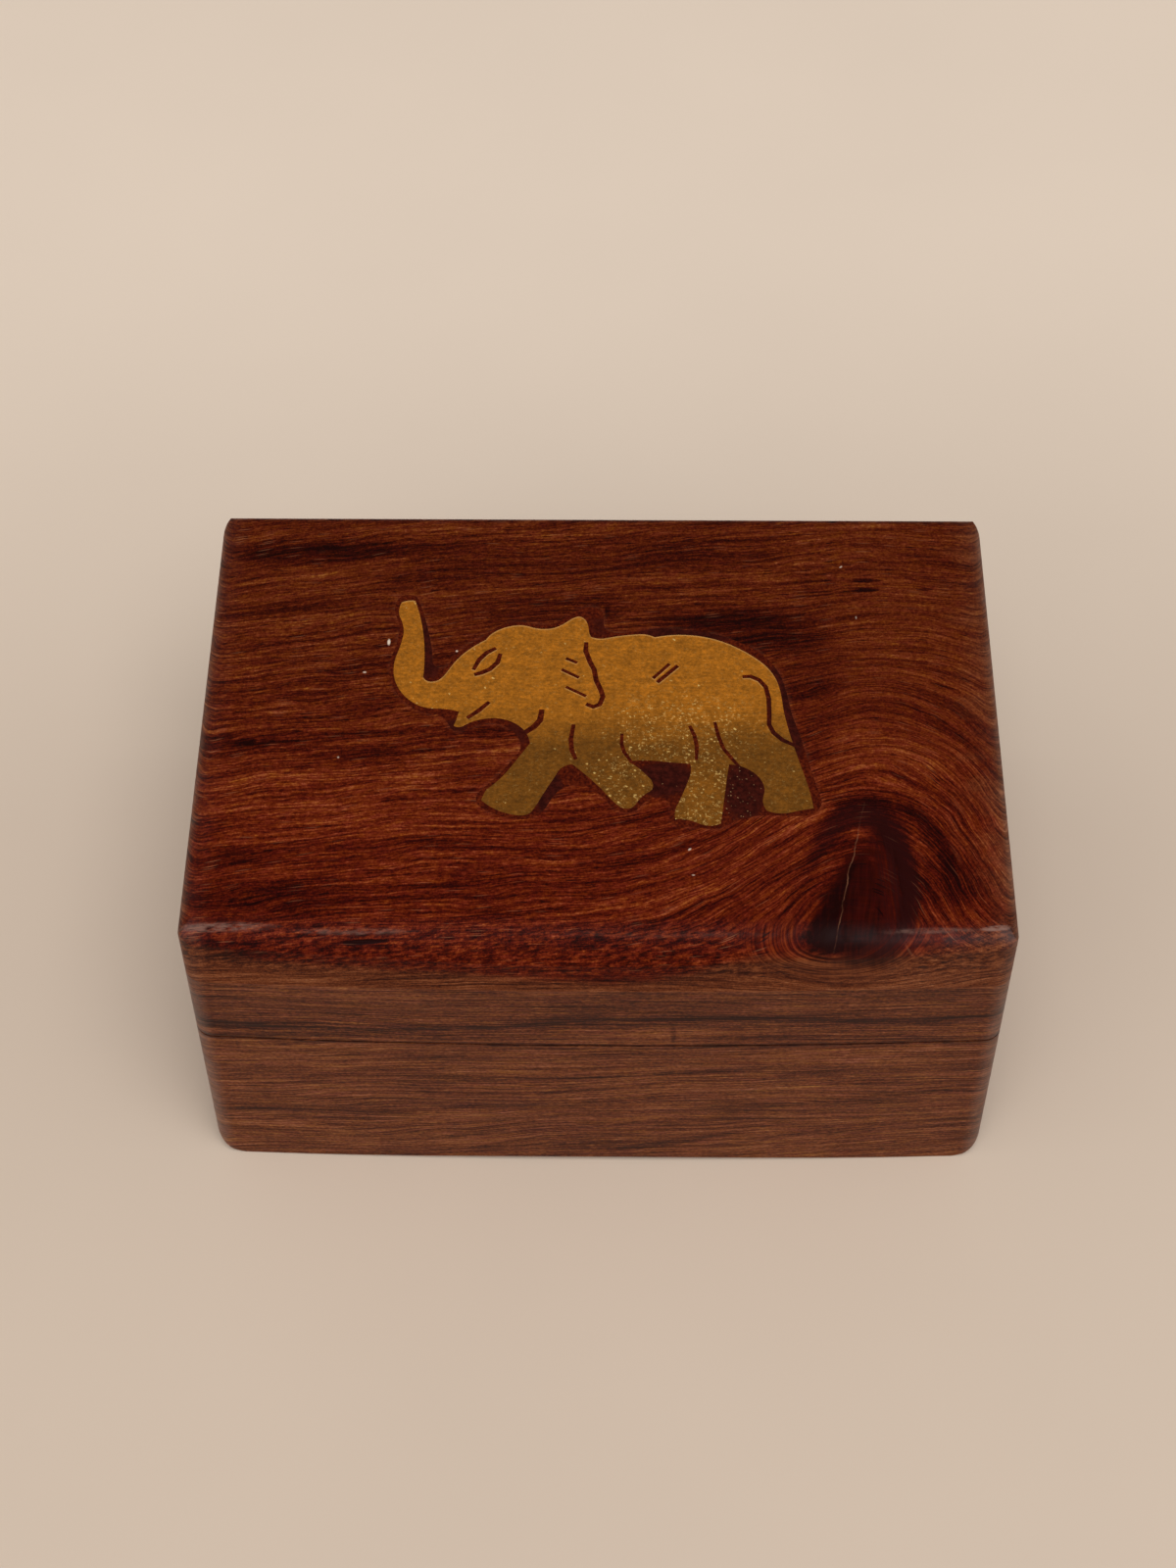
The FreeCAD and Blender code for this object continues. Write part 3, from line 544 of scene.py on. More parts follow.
def drawKnot(tree, point, height, along, across, tone, values):
    # a leaning dark core with fibres, arches over it, and rings that close below it on the edge
    shape = values["core"]
    rise = minus(tree, across, shape["waist"])
    up = over(tree, higher(tree, rise, 0.0), shape["tip"] - shape["waist"])
    down = over(tree, lower(tree, rise, 0.0), shape["waist"] - shape["foot"])
    leaning = addShare(tree, along, minus(tree, across, shape["tip"]), -shape["tilt"])
    wide = times(tree, leaning, addShare(tree, 1.0, up, shape["point"]))
    drop = vec(tree, "LENGTH", joinXyz(tree, over(tree, wide, shape["width"]), plus(tree, up, down)))
    rings = flatNoise(tree, drop, along, values["ringScale"], detail=3.0)
    rings = fade(tree, rings, *values["ringContrast"])
    fibres = flatNoise(tree, along, across, values["fibreScale"], detail=4.0)
    checks = flatNoise(tree, along, across, values["checkScale"], detail=2.0)
    fray = noise(tree, point, scale=values["frayScale"], detail=4.0, rough=0.65)
    frayed = plus(tree, drop, swing(tree, fray, values["frayed"]))
    coreStart = mapRange(tree, leaning, *values["coreEdge"])
    core = fade(tree, frayed, coreStart, values["coreEnd"], 1.0, 0.0)
    waver = noise(tree, point, scale=values["waverScale"], detail=5.0, rough=0.65)
    waver = swing(tree, waver, values["waver"])

    def arch(middle, reach):
        sides = [over(tree, minus(tree, value, centre), size)
                 for value, centre, size in zip((along, across), middle, reach)]
        return plus(tree, vec(tree, "LENGTH", joinXyz(tree, *sides)), waver)

    inner, outer = arch(*values["innerArch"]), arch(*values["outerArch"])
    measures = {
        "along": along, "across": across, "leaning": leaning, "drop": drop, "inner": inner, "outer": outer,
        "innerOff": away(tree, inner, 1.0), "outerOff": away(tree, outer, 1.0),
    }
    names = ("innerDark", "outerDark", "between", "lap", "shoulder", "below")
    zones = {name: overlap(tree, measures, values[name]) for name in names}
    inside = times(tree, higher(tree, core, zones["shoulder"]), fade(tree, height, *values["insideHeight"]))
    insideTone = times(tree, swing(tree, rings, values["insideRings"]), minus(tree, 1.0, core))
    insideTone = plus(tree, insideTone, values["insideTone"], swing(tree, fibres, values["insideFibres"]),
                      swing(tree, checks, values["insideChecks"]))
    belowTone = plus(tree, swing(tree, rings, values["belowRings"]), values["belowTone"],
                     swing(tree, fibres, values["belowFibres"]))
    belowShare = times(tree, zones["below"], values["belowShare"])
    for layer, share in ((belowTone, belowShare), (insideTone, inside)):
        tone = addShare(tree, tone, minus(tree, layer, tone), share)
    for name, change in values["changes"].items():
        tone = addShare(tree, tone, zones[name], change)
    ringPurple = times(tree, minus(tree, 1.0, rings), minus(tree, inside, core), values["ringPurple"])
    archPurple = times(tree, zones["innerDark"], values["archPurple"])
    return tone, inside, calc(tree, "MAXIMUM", ringPurple, archPurple, clamp=True)


# top board: figured wood, waxed down to an uneven line on its rounded front edge
topBoard = {
    "underside": 30.9,  # height above the floor, in mm
    "skin": (33.6, 34.8),  # marks, painted sheen and chips come in between these heights
    "arch": 0.0007, "wander": 0.32, "pitch": 0.5,
    "weights": {"Bands": 0.6, "Threads": 0.36, "Lines": 0.36, "Flecks": 0.75},
    # calmer toward the back, most of all at its right corner
    "calmRight": (12.0, 24.0), "calmBack": (-9.0, 0.0), "calmRear": (4.0, 16.0, 0.0, 0.7), "calm": 0.3,
    # short slanting fibres on the rounded front edge, and painted shade that darkens it
    "edgeDepth": (-24.6, -22.6, 1.0, 0.0), "edgeHeight": (32.6, 34.6), "edgeCalm": 0.5, "edgeSlant": -0.2,
    "edgeScale": (0.75, 2.2), "edgeContrast": (0.33, 0.67), "edgeFibres": 0.55, "edgeShade": -0.10,
    "edgeGlints": (1.0, 1.7),
    "mottleScale": 2.6, "mottle": (0.36, 0.8),  # on the flat and on the edge
    "gritScale": 5.5, "grit": 0.65,
    # x, y, reach x, reach y, slope, lighter or darker
    "shades": [
        (-29, 21.2, 13, 2.2, 0.05, -0.20), (13.5, 11.5, 11, 4.2, -0.1, -0.20),
        (20, 3.5, 4.5, 10, 0, -0.10), (-6, 13.6, 14, 2.6, 0.05, -0.12),
        (-20, -9.5, 24, 6.5, 0.06, 0.08), (-31, -21.3, 11, 2.6, 0.03, -0.16),
        (12, -18, 8, 5, 0.5, 0.02), (27.5, -4, 9, 5, -0.1, 0.08),
        (31.6, -18.6, 4.6, 4.6, 0, -0.19), (-24, -2.0, 16, 3.5, 0.05, -0.07),
        (0, 21, 24, 4, 0.05, -0.09), (29, 12, 8, 9, 0, 0.05),
        (24.4, -13.1, 1.8, 1.0, 0, 0.14), (19, -11.5, 3.5, 2.0, 0.5, 0.12),
    ],
    "shading": 1.35,
    "marks": [
        (26.2, 17.6, 2.2, 0.40, 0.0, 0.9), (26.0, 16.4, 1.9, 0.36, 0.04, 1.0),
        (31.9, 16.5, 1.0, 0.32, 0, 0.6), (21.2, 16.1, 2.6, 0.22, 0.05, 0.6),
        (33.0, 4.2, 1.9, 0.26, -0.35, 0.6), (-33.6, -3.0, 1.6, 0.6, 0.1, 0.6),
        (-20.2, 11.4, 1.3, 0.2, 0.05, 0.3), (-27.5, 21.6, 2.4, 0.5, 0.05, 0.4),
        (-28.0, -6.0, 1.3, 0.45, 0.2, 0.5), (0.7, 13.4, 0.4, 1.1, 0, 0.5),
        (-21.2, -25.08, 2.6, 0.24, 0.04, 2.0), (21.45, -22.4, 0.4, 0.5, 0, 0.6),
        (-33.2, -25.35, 5.5, 0.4, -0.06, 0.5), (-0.5, -25.0, 4.0, 0.5, 0.03, 0.35),
    ],
    "pores": 0.85,
    # browner toward the back, redder toward the front
    "tintFade": (-18.0, 16.0), "tintFront": (1.03, 0.86, 0.86), "tintBack": (0.94, 1.1, 1.0),
    "warm": (1.0, 1.10, 0.55), "cool": (1.0, 0.88, 1.55),  # multiplied in by turns along the grain
    "purple": (0.030, 0.0036, 0.0030),
    "glint": (0.27, 0.095, 0.042), "glintFade": (-37.0, -31.0, 0.7, 0.36), "glintInside": -0.32,
    # lower end of the wax: x and height above the underside of the board
    "waxLine": [
        (-39, 6.9), (-36.5, 5.7), (-33, 4.5), (-29, 3.6), (-19, 3.2), (-13, 2.6), (-7.5, 1.8), (2.5, 1.6),
        (8, 2.9), (13.5, 4.7), (17, 5.1), (26, 5.0), (31, 5.5), (33.5, 6.1), (39, 7.2),
    ],
    "waxScale": (0.14, 0.3, 0.5), "waxRagged": 3.0, "waxFade": (-0.8, 1.2),
    # painted sheen: lighter, greyer patches on the rounded front edge where it catches the light, brightest
    # at its right corner
    "paintedSheen": [
        (-34.0, -24.0, 6.0, 0.55, 0.02, 0.75), (-22, -24.3, 6.5, 0.4, 0.0, 0.45),
        (5, -24.4, 14, 0.4, 0.0, 0.12), (30, -24.0, 5.5, 0.35, 0.03, 0.4),
        (36.0, -23.75, 1.9, 0.32, 0.06, 1.3),
    ],
    "sheenColour": (0.20, 0.105, 0.08), "sheenScale": (0.8, 2.4, 2.4), "sheenBroken": (0.36, 0.62),
    "crackFrom": (24.6, -9.8), "crackTo": (21.4, -25.6), "crackColour": (0.22, 0.09, 0.045),
    "crackWidth": (0.01, 0.085, 1.0, 0.0), "crackBendScale": 0.35, "crackBend": 0.9,
    "crackStart": 5.0, "crackThin": 0.2, "crackHeight": (34.0, 36.0),  # thins out toward its start
    "crackBrokenScale": 0.6, "crackBroken": (0.35, 0.65, 0.05, 0.6),
    "wornWidth": 0.0008, "wornShare": 0.25, "worn": (0.20, 0.06, 0.03),
    "chips": [
        (-20.55, 9.4, 0.2, 0.5, 0, 1.0), (-22.7, 5.6, 0.24, 0.15, 0, 0.7),
        (-13.9, 8.3, 0.16, 0.16, 0, 0.8), (23.8, 19.4, 0.2, 0.15, 0.5, 0.6),
        (8.4, -15.3, 0.2, 0.17, 0.5, 0.7), (25.0, 12.8, 0.1, 0.25, 0, 0.4),
        (8.7, -18.2, 0.2, 0.11, 0, 0.5), (-24.6, -4.8, 0.14, 0.16, 0, 0.5),
    ],
    "chip": (0.7, 0.57, 0.45),
    "roughness": (0.42, 0.56), "sheen": 0.035,
    # edges polished by handling
    "coatEnds": (34.8, 37.4), "coatFront": (-25.0, -23.4, 1.0, 0.0), "coatRight": (16.0, 34.0, 0.0, 0.5),
    "coatScale": 0.5, "coat": (0.08, 0.34), "coatRoughness": 0.32,
    "bump": 0.35, "bumpDepth": 0.00006,
}


def topTone(tree, point, figure, along, across, values):
    x, y, z = splitXyz(tree, point)
    tone = mixTone(tree, figure, values["weights"])
    calm = times(tree, fade(tree, x, *values["calmRight"]), fade(tree, y, *values["calmBack"]))
    calm = higher(tree, calm, fade(tree, y, *values["calmRear"]))
    tone = minus(tree, tone, times(tree, swing(tree, tone, values["calm"]), calm))
    edge = times(tree, fade(tree, y, *values["edgeDepth"]), fade(tree, z, *values["edgeHeight"]))
    tone = minus(tree, tone, times(tree, swing(tree, tone, values["edgeCalm"]), edge))
    slant = addShare(tree, across, along, values["edgeSlant"])
    cut = flatNoise(tree, along, slant, values["edgeScale"], detail=4.0, rough=0.7)
    cut = swing(tree, fade(tree, cut, *values["edgeContrast"]), values["edgeFibres"])
    tone = addShare(tree, tone, cut, edge)
    mottle = mapRange(tree, edge, 0.0, 1.0, *values["mottle"])
    coarse = noise(tree, point, scale=values["mottleScale"], detail=4.0, rough=0.65)
    fine = noise(tree, point, scale=values["gritScale"], detail=2.0)
    return plus(tree, tone, swing(tree, coarse, mottle), swing(tree, fine, values["grit"])), edge


def crackMask(tree, point, values):
    x, y, z = splitXyz(tree, point)
    (x0, y0), (x1, y1) = values["crackFrom"], values["crackTo"]
    bend = noise(tree, point, scale=values["crackBendScale"], detail=4.0)
    line = plus(tree, mapRange(tree, y, y0, y1, x0, x1), swing(tree, bend, values["crackBend"]))
    split = fade(tree, away(tree, x, line), *values["crackWidth"])
    thinner = fade(tree, y, y0 - values["crackStart"], y0, 1.0, values["crackThin"])
    withinEnds = calc(tree, "LESS_THAN", away(tree, y, 0.5 * (y0 + y1)), 0.5 * (y0 - y1))
    broken = noise(tree, point, scale=values["crackBrokenScale"])
    broken = mapRange(tree, broken, *values["crackBroken"])
    return times(tree, split, thinner, withinEnds, broken, fade(tree, z, *values["crackHeight"]))


def paintTopBoard(values, knot):
    material, tree, shader, point = newMaterial("figuredTop")
    x, y, z = splitXyz(tree, point)
    along, across, lines = layTopGrain(tree, point, knot, values)
    figure = useGroup(tree, woodFigure, Along=along, Across=lines, Depth=z, Pitch=values["pitch"])
    tone, edge = topTone(tree, point, figure, along, across, values)
    tone, inside, purple = drawKnot(tree, point, z, along, across, tone, knot)
    tone = addShare(tree, tone, sumPatches(tree, point, values["shades"]), values["shading"])
    # painted shade: the rounded front edge a little darker
    tone = addShare(tree, tone, edge, values["edgeShade"])
    skin = fade(tree, z, *values["skin"])
    marks = times(tree, sumPatches(tree, point, values["marks"]), skin)
    dark = higher(tree, times(tree, figure["Pores"], values["pores"]), marks)
    tone = addShare(tree, tone, dark, poreDark)
    # the waxed face
    tint = blend(tree, fade(tree, y, *values["tintFade"]), values["tintFront"], values["tintBack"])
    waxed = blend(tree, 1.0, ramp(tree, tone, waxedTones), tint, "MULTIPLY")
    hue = blend(tree, figure["Hue"], values["warm"], values["cool"])
    waxed = blend(tree, 1.0, waxed, hue, "MULTIPLY")
    waxed = blend(tree, purple, waxed, values["purple"])
    glintShare = addShare(tree, fade(tree, x, *values["glintFade"]), inside, values["glintInside"])
    glints = times(tree, figure["Glints"], glintShare)
    onEdge = mapRange(tree, edge, 0.0, 1.0, *values["edgeGlints"])
    waxed = blend(tree, calc(tree, "MULTIPLY", glints, onEdge, clamp=True), waxed, values["glint"])
    # the wax ends along a line on the front edge
    ragged = noise(tree, point, detail=6.0, rough=0.65, scale=values["waxScale"])
    level = plus(tree, minus(tree, z, values["underside"]), swing(tree, ragged, values["waxRagged"]))
    above = minus(tree, level, pathCurve(tree, x, values["waxLine"]))
    colour = blend(tree, fade(tree, above, *values["waxFade"]), ramp(tree, tone, plainTones), waxed)
    # painted sheen, crack, rubbed edges and chips
    # painted sheen, broken up by noise, laid over the colour of the front edge
    thin = noise(tree, point, detail=4.0, rough=0.65, scale=values["sheenScale"])
    thin = times(tree, mapRange(tree, thin, *values["sheenBroken"]), skin)
    paintedSheen = calc(tree, "MULTIPLY", sumPatches(tree, point, values["paintedSheen"]), thin, clamp=True)
    colour = blend(tree, paintedSheen, colour, values["sheenColour"])
    colour = blend(tree, crackMask(tree, point, values), colour, values["crackColour"])
    colour = addWear(tree, point, colour, values["wornWidth"], values["wornShare"], values["worn"])
    chips = times(tree, lower(tree, sumPatches(tree, point, values["chips"]), 1.0), skin)
    colour = blend(tree, chips, colour, values["chip"])
    plug(tree, colour, shader.inputs["Base Color"])
    smooth, rough = values["roughness"]
    plug(tree, fade(tree, figure["Lines"], *lineSpan, rough, smooth), shader.inputs["Roughness"])
    shader.inputs["Specular IOR Level"].default_value = values["sheen"]
    front = times(tree, fade(tree, y, *values["coatFront"]), fade(tree, x, *values["coatRight"]))
    rubbed = higher(tree, fade(tree, away(tree, x), *values["coatEnds"]), front)
    rubbed = times(tree, rubbed, patchy(tree, point, values["coatScale"], *values["coat"]))
    plug(tree, rubbed, shader.inputs["Coat Weight"])
    shader.inputs["Coat Roughness"].default_value = values["coatRoughness"]
    height = addShare(tree, times(tree, dark, -1.0), figure["Lines"], lineRelief)
    bumpFrom(tree, shader, height, values["bump"], values["bumpDepth"])
    return material


figuredTop = paintTopBoard(topBoard, topKnot)

# straight-grained boards of the lid, the base, the ends and the bottom
boardFinish = {
    "weights": {"Bands": 0.44, "Threads": 0.28, "Lines": 0.46, "Flecks": 0.9},
    "stretch": (0.5, 1.0, 1.0),  # drawn out along the grain
    "mottleScale": (3.0, 6.0, 6.0), "mottle": 1.0, "cloudScale": (0.09, 0.2, 0.4), "cloud": 0.6,
    "glints": 0.26, "pores": 0.45, "warm": (1.0, 1.05, 0.50), "cool": (1.0, 0.88, 1.2),
    # the streak's soft sides and its uneven dark middle: full up to the first width, gone at the second
    "streakLength": 7.0, "streakWide": (0.1, 3.4), "streakSoft": 0.36,
    "streakNarrow": (0.02, 0.9), "streakDark": (0.35, 0.65, 0.1, 0.7),
    "frontOnly": (-20.0, -18.0, 1.0, 0.0),
    # painted shade along the saw cut between base and lid, on the outer faces
    "sawCut": 21.6, "seamShadeWidth": (0.12, 0.5, 1.0, 0.0), "seamShadeScale": 0.5, "seamShade": (0.1, 0.9),
    "outerEnds": (36.8, 37.6), "outerSides": (24.6, 25.4),
    "wornWidth": 0.0006, "wornShare": 0.25, "worn": (0.23, 0.075, 0.03),
    "roughness": (0.48, 0.62), "sheen": 0.15,
    # upright corners polished by handling
    "cornerEnds": (35.9, 37.3), "cornerSides": (22.8, 24.4),
    "coatScale": 0.5, "coat": (0.3, 0.8), "coatRoughness": 0.4,
    "bump": 0.3, "bumpDepth": 0.00006,
}
lidBoards = {
    "name": "lidBoards", "lighter": -0.09, "pitch": 0.34, "wander": 0.5,
    "turned": False, "grain": (1, 0.02, 0), "cross": (0, 0.6, 1),
    # x, z, reach x, reach z, slope, darker
    "marks": [(7.1, 23.6, 0.35, 1.9, 0, 0.5), (15.3, 23.8, 0.3, 0.8, 0, 0.25)],
    "streak": [(-39, 24.4), (-26, 23.7), (-12, 24.3), (-3, 25.7), (8, 26.3), (16, 26.2), (26, 25.6),
               (39, 26.2)],
}
baseBoards = {
    "name": "baseBoards", "lighter": -0.03, "pitch": 0.34, "wander": 0.8,
    "turned": False, "grain": (1, 0.02, 0.08), "cross": (-0.08, 0.6, 1),
    "marks": [(2, 14.2, 13, 0.5, 0.17, 0.30), (12, 17.2, 9, 0.6, 0.1, 0.28),
              (17, 10.6, 16, 0.7, 0.06, 0.28), (-24, 11.3, 14, 0.35, 0.02, 0.2),
              (-22, 8.4, 18, 0.5, -0.02, 0.3)],
    "streak": None,
}
endBoards = {
    "name": "endBoards", "lighter": -0.03, "pitch": 0.34, "wander": 0.5,
    "turned": True, "grain": (1, 0.02, 0.02), "cross": (-0.02, 0.6, 1),  # turned: grain from front to back
    "marks": [],
    "streak": None,
}
bottomBoard = {
    "name": "bottomBoard", "lighter": -0.03, "pitch": 0.36, "wander": 0.8,
    "turned": False, "grain": (1, 0.02, 0.16), "cross": (-0.16, 0.7, 1),
    "marks": [(-12.5, 5.0, 5, 0.6, 0.25, 0.4), (-9.5, 3.2, 4.5, 0.6, 0.33, 0.45),
              (7.5, 3.8, 8.5, 0.8, 0.27, 0.45), (16.5, 4.2, 7, 0.6, 0.25, 0.35)],
    "streak": None,
}


def streakMask(tree, x, z, points, values):
    gap = away(tree, z, pathCurve(tree, x, points))
    ragged = noise(tree, joinXyz(tree, over(tree, x, values["streakLength"]), z), detail=3.0)

    def stripe(full, none, strength):
        return fade(tree, gap, full, times(tree, ragged, none), strength, 0.0)

    middle = mapRange(tree, ragged, *values["streakDark"])
    sides = stripe(*values["streakWide"], values["streakSoft"])
    return plus(tree, sides, stripe(*values["streakNarrow"], middle))


def paintBoards(board, values):
    material, tree, shader, point = newMaterial(board["name"])
    x, y, z = splitXyz(tree, point)
    grain, cross = Vector(board["grain"]).normalized(), Vector(board["cross"]).normalized()
    laid = joinXyz(tree, y, x, z) if board["turned"] else point
    laid = vec(tree, "MULTIPLY", laid, values["stretch"])
    flow = useGroup(tree, grainFlow, Point=laid, Grain=tuple(grain), Cross=tuple(cross),
                    Wander=board["wander"])
    depth = vec(tree, "DOT_PRODUCT", laid, tuple(grain.cross(cross)))
    figure = useGroup(tree, woodFigure, Along=flow["Along"], Across=flow["Across"], Depth=depth,
                      Pitch=board["pitch"])
    mottle = noise(tree, point, detail=3.0, scale=values["mottleScale"])
    cloud = noise(tree, point, detail=4.0, rough=0.6, scale=values["cloudScale"])
    tone = plus(tree, mixTone(tree, figure, values["weights"]), swing(tree, mottle, values["mottle"]),
                board["lighter"], swing(tree, cloud, values["cloud"]))
    tone = addShare(tree, tone, figure["Glints"], values["glints"])
    marks = sumPatches(tree, joinXyz(tree, x, z), board["marks"])
    if board["streak"]:
        marks = plus(tree, streakMask(tree, x, z, board["streak"], values), marks)
    marks = times(tree, marks, fade(tree, y, *values["frontOnly"]))
    dark = higher(tree, times(tree, figure["Pores"], values["pores"]), marks)
    # painted shade: the outer faces darker along the saw cut, broken up by noise
    seamShade = fade(tree, away(tree, z, values["sawCut"]), *values["seamShadeWidth"])
    seamShade = times(tree, seamShade, patchy(tree, point, values["seamShadeScale"], *values["seamShade"], detail=3.0))
    fromMiddle = {"ends": away(tree, x), "sides": away(tree, y)}
    outer = higher(tree, fade(tree, fromMiddle["ends"], *values["outerEnds"]),
                   fade(tree, fromMiddle["sides"], *values["outerSides"]))
    dark = higher(tree, dark, times(tree, seamShade, outer))
    tone = addShare(tree, tone, dark, poreDark)
    hue = blend(tree, figure["Hue"], values["warm"], values["cool"])
    colour = blend(tree, 1.0, ramp(tree, tone, plainTones), hue, "MULTIPLY")
    colour = addWear(tree, point, colour, values["wornWidth"], values["wornShare"], values["worn"])
    plug(tree, colour, shader.inputs["Base Color"])
    smooth, rough = values["roughness"]
    plug(tree, fade(tree, figure["Lines"], *lineSpan, rough, smooth), shader.inputs["Roughness"])
    shader.inputs["Specular IOR Level"].default_value = values["sheen"]
    corner = overlap(tree, fromMiddle, [("ends", values["cornerEnds"]), ("sides", values["cornerSides"])])
    corner = times(tree, corner, patchy(tree, point, values["coatScale"], *values["coat"]))
    plug(tree, corner, shader.inputs["Coat Weight"])
    shader.inputs["Coat Roughness"].default_value = values["coatRoughness"]
    height = addShare(tree, times(tree, figure["Pores"], -1.0), figure["Lines"], lineRelief)
    bumpFrom(tree, shader, height, values["bump"], values["bumpDepth"])
    return material


lidWood = paintBoards(lidBoards, boardFinish)
baseWood = paintBoards(baseBoards, boardFinish)
endWood = paintBoards(endBoards, boardFinish)
bottomWood = paintBoards(bottomBoard, boardFinish)
print("woods painted")

# brass elephant
brassFigure = {
    # bright and dull: painted reflection, lighter high on the figure where it mirrors a bright room, darker
    # on the legs
    "bright": (0.54, 0.190, 0.011), "dull": (0.24, 0.086, 0.006),
    "reflectionFrom": (-4.2, 2.4), "cloudScale": (0.25, 0.5, 0.3), "cloud": 5.0,  # mm up the figure
    # x, y, reach x, reach y, slope, how far the painted reflection spreads or how dusty with grains
    # worn: patches where the painted reflection reaches further down the legs
    "worn": [(9.6, -9.5, 2.8, 5.5, 0.1, 0.22), (-10.5, -7.5, 3.0, 3.5, 0.0, 0.06)],
    "dusty": [(7.5, -1.5, 9.5, 6.0, 0.0, 1.0), (9.3, -9.5, 5.0, 7.0, 0.1, 1.3),
              (2.5, -7.5, 4.5, 4.5, 0.0, 0.8)],
    # sanding in three sizes, each from darker to lighter
    "blotches": (0.72, 1.22), "grains": (0.78, 1.22), "strokes": (0.9, 1.1),
    "blotchScale": 1.2, "grainScale": (3.4, 4.5, 3.4), "strokeScale": (0.3, 3.2, 1.0),
    "fleck": (1.0, 0.68, 0.22), "fleckSize": 0.38, "fleckRare": 0.955, "fleckDusty": -0.36,
    "fleckShade": (0.9, 0.1), "clumpScale": 3.4, "clumpFrom": (0.55, 0.70), "clumps": (0.14, 0.8),
    # painted highlight along the upper edge, where the filed edge catches the light
    "rimHighlight": (0.90, 0.52, 0.16), "rimWidth": 0.00034, "rimSamples": 6, "rimTurn": (0.1, 0.45),
    "rimFrom": (-3.0, 5.0), "rimShare": 0.75,
    "metallic": 0.8, "roughness": (0.46, 0.62), "bump": 0.25, "bumpDepth": 0.00004, "grainRelief": 0.5,
}


def paintBrassFigure(values):
    material, tree, shader, point = newMaterial("inlayBrass")
    y = splitXyz(tree, point)[1]
    # painted reflection: dull low on the figure, bright higher up, along a wavering line
    cloudy = noise(tree, point, detail=3.0, scale=values["cloudScale"])
    lifted = plus(tree, swing(tree, cloudy, values["cloud"]), y)
    worn = sumPatches(tree, point, values["worn"])
    bright = calc(tree, "ADD", fade(tree, lifted, *values["reflectionFrom"]), worn, clamp=True)
    grain = noise(tree, point, detail=3.0, rough=0.65, scale=values["grainScale"])
    blotches = patchy(tree, point, values["blotchScale"], *values["blotches"], detail=5.0, rough=0.7)
    shade = times(tree, blotches, mapRange(tree, grain, *mostNoise, *values["grains"]),
                  patchy(tree, point, values["strokeScale"], *values["strokes"], detail=3.0))
    colour = dim(tree, blend(tree, bright, values["dull"], values["bright"]), shade)
    dusty = lower(tree, sumPatches(tree, point, values["dusty"]), 1.0)
    flecks = useGroup(tree, specks, Point=point, Size=values["fleckSize"],
                      Chosen=addShare(tree, values["fleckRare"], dusty, values["fleckDusty"]))
    varied, least = values["fleckShade"]
    mask = times(tree, flecks["Mask"], addShare(tree, least, flecks["Shade"], varied))
    clumps = noise(tree, point, scale=values["clumpScale"], detail=4.0, rough=0.7)
    clumps = times(tree, fade(tree, clumps, *values["clumpFrom"]),
                   mapRange(tree, dusty, 0.0, 1.0, *values["clumps"]))
    mask = higher(tree, mask, clumps)
    colour = blend(tree, mask, colour, values["fleck"])
    # painted highlight along the upper edge of the figure
    softened = tree.nodes.new("ShaderNodeBevel")
    softened.samples = values["rimSamples"]
    softened.inputs["Radius"].default_value = values["rimWidth"]
    facing = splitXyz(tree, softened.outputs[0])[1]
    rimHighlight = times(tree, fade(tree, facing, *values["rimTurn"]), fade(tree, y, *values["rimFrom"]))
    colour = blend(tree, times(tree, rimHighlight, values["rimShare"]), colour, values["rimHighlight"])
    plug(tree, colour, shader.inputs["Base Color"])
    shader.inputs["Metallic"].default_value = values["metallic"]
    plug(tree, fade(tree, grain, *mostNoise, *values["roughness"]), shader.inputs["Roughness"])
    height = plus(tree, times(tree, grain, values["grainRelief"]), mask)
    bumpFrom(tree, shader, height, values["bump"], values["bumpDepth"])
    return material


inlayBrass = paintBrassFigure(brassFigure)

# lac round the brass and in its saw lines
lacBed = {
    "dark": (0.020, 0.0022, 0.0014), "pale": (0.062, 0.0075, 0.0036),
    "gritScale": 1.6, "gritContrast": (0.35, 0.75),
    # where the lac shows dark; elsewhere wood dust has closed over its edge
    "deep": [
        (-16.6, 9.0, 2.2, 6.5, 0, 1.0), (0.0, 11.6, 1.4, 2.0, 0, 0.6), (8.0, 11.0, 7.5, 1.6, -0.1, 1.2),
        (17.9, 1.5, 2.4, 9.5, 0, 1.5), (6.0, -7.2, 4.2, 3.0, 0, 1.2), (13.6, -8.5, 2.8, 5.0, 0, 1.2),
        (-4.6, -9.0, 1.8, 4.0, 0, 1.3), (-13.8, -1.0, 1.8, 1.4, 0, 0.8), (-7.8, -1.8, 1.8, 2.2, 0, 0.7),
    ],
    "deepRagged": 1.6, "closedFade": (0.1, 0.9, 0.95, 0.0),
    "closedTone": 0.40, "closedScale": 4.0, "closedGrit": 1.1,
    "dust": (0.36, 0.20, 0.09), "dusty": [(13.4, -8.5, 2.6, 5.0, 0.0, 1.0)],
    "dustSize": 0.22, "dustRare": 0.99, "dustDusty": -0.22,
    "roughness": (0.5, 0.65), "sheen": 0.04, "bump": 0.3, "bumpDepth": 0.00005,
}


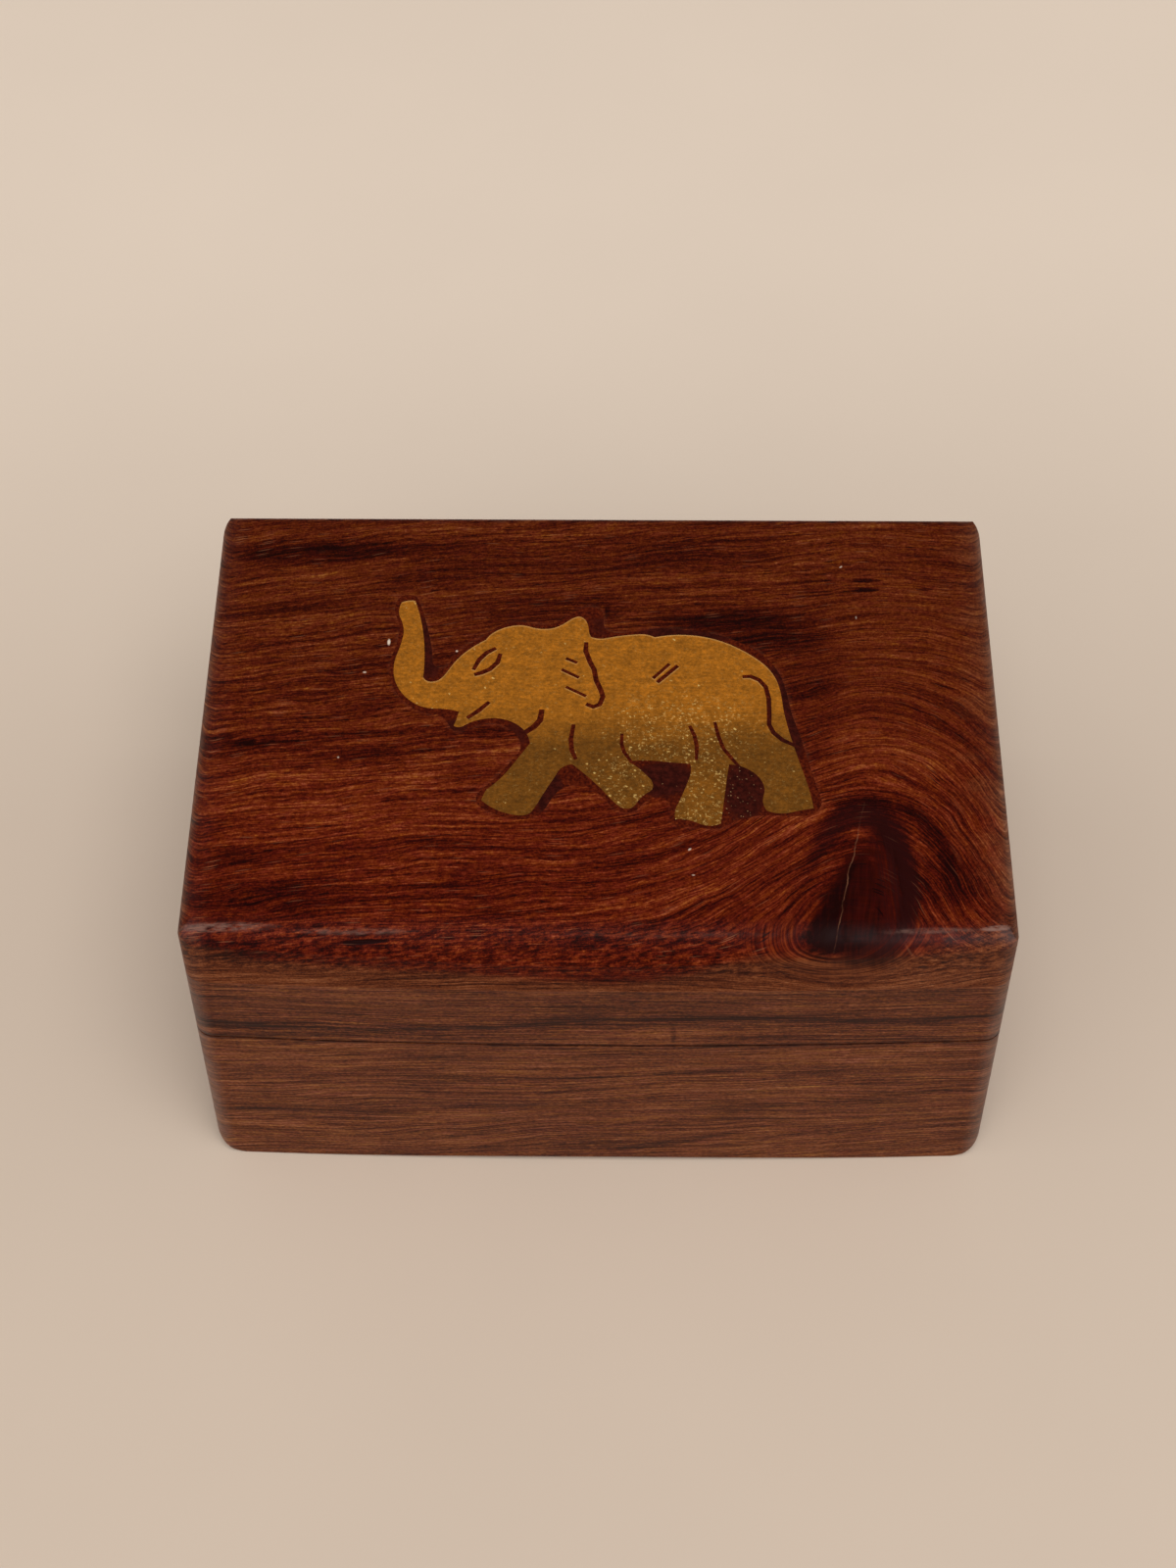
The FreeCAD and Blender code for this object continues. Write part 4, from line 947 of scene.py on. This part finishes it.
def paintLac(values):
    material, tree, shader, point = newMaterial("darkLac")
    grit = noise(tree, point, scale=values["gritScale"], detail=4.0, rough=0.7)
    colour = blend(tree, fade(tree, grit, *values["gritContrast"]), values["dark"], values["pale"])
    deep = plus(tree, sumPatches(tree, point, values["deep"]), swing(tree, grit, values["deepRagged"]))
    fine = swing(tree, noise(tree, point, scale=values["closedScale"], detail=3.0), values["closedGrit"])
    closed = ramp(tree, plus(tree, values["closedTone"], fine), waxedTones)
    colour = blend(tree, fade(tree, deep, *values["closedFade"]), colour, closed)
    dusty = lower(tree, sumPatches(tree, point, values["dusty"]), 1.0)
    flecks = useGroup(tree, specks, Point=point, Size=values["dustSize"],
                      Chosen=addShare(tree, values["dustRare"], dusty, values["dustDusty"]))
    colour = blend(tree, times(tree, flecks["Mask"], flecks["Shade"]), colour, values["dust"])
    plug(tree, colour, shader.inputs["Base Color"])
    plug(tree, fade(tree, grit, *mostNoise, *values["roughness"]), shader.inputs["Roughness"])
    shader.inputs["Specular IOR Level"].default_value = values["sheen"]
    bumpFrom(tree, shader, plus(tree, grit, flecks["Mask"]), values["bump"], values["bumpDepth"])
    return material


darkLac = paintLac(lacBed)

# hinge leaves, and their pins and brads
metalFinish = {
    "tarnishScale": 0.55, "tarnish": (0.36, 0.66), "wornWidth": 0.0003, "wornShare": 0.5,
    "metallic": 0.95, "roughness": (0.28, 0.48), "bump": 0.2, "bumpDepth": 0.00003,
}
hingeMetal = {
    "name": "hingeBrass", "bright": (0.60, 0.33, 0.085), "dull": (0.24, 0.125, 0.04),
    "strokeScale": (0.35, 5.0, 5.0),
}
bradMetal = {
    "name": "nailBrass", "bright": (0.52, 0.29, 0.08), "dull": (0.18, 0.10, 0.035),
    "strokeScale": (3.0, 3.0, 1.0),
}


def paintHardware(metal, values):
    material, tree, shader, point = newMaterial(metal["name"])
    tarnish = noise(tree, point, scale=values["tarnishScale"], detail=4.0, rough=0.65)
    tarnish = fade(tree, tarnish, *values["tarnish"])
    strokes = noise(tree, point, detail=3.0, scale=metal["strokeScale"])
    wear = useGroup(tree, edgeWear, Point=point, Width=values["wornWidth"])["Mask"]
    share = calc(tree, "ADD", tarnish, times(tree, wear, values["wornShare"]), clamp=True)
    plug(tree, blend(tree, share, metal["dull"], metal["bright"]), shader.inputs["Base Color"])
    shader.inputs["Metallic"].default_value = values["metallic"]
    plug(tree, fade(tree, strokes, *mostNoise, *values["roughness"]), shader.inputs["Roughness"])
    bumpFrom(tree, shader, strokes, values["bump"], values["bumpDepth"])
    return material


hingeBrass = paintHardware(hingeMetal, metalFinish)
nailBrass = paintHardware(bradMetal, metalFinish)
print("brass and lac painted")

# each solid takes the finish of its slot
finishes = {
    "top_wood": figuredTop, "lid_wood": lidWood, "base_wood": baseWood, "end_wood": endWood,
    "bottom_wood": bottomWood, "inlay_brass": inlayBrass, "dark_lac": darkLac, "hinge_brass": hingeBrass,
    "nail_brass": nailBrass,
}
for piece in frame["record"]["subparts"]:
    mesh = frame["nodes"][piece["node"]].data
    mesh.materials.clear()
    mesh.materials.append(finishes[piece["material_slot"]])
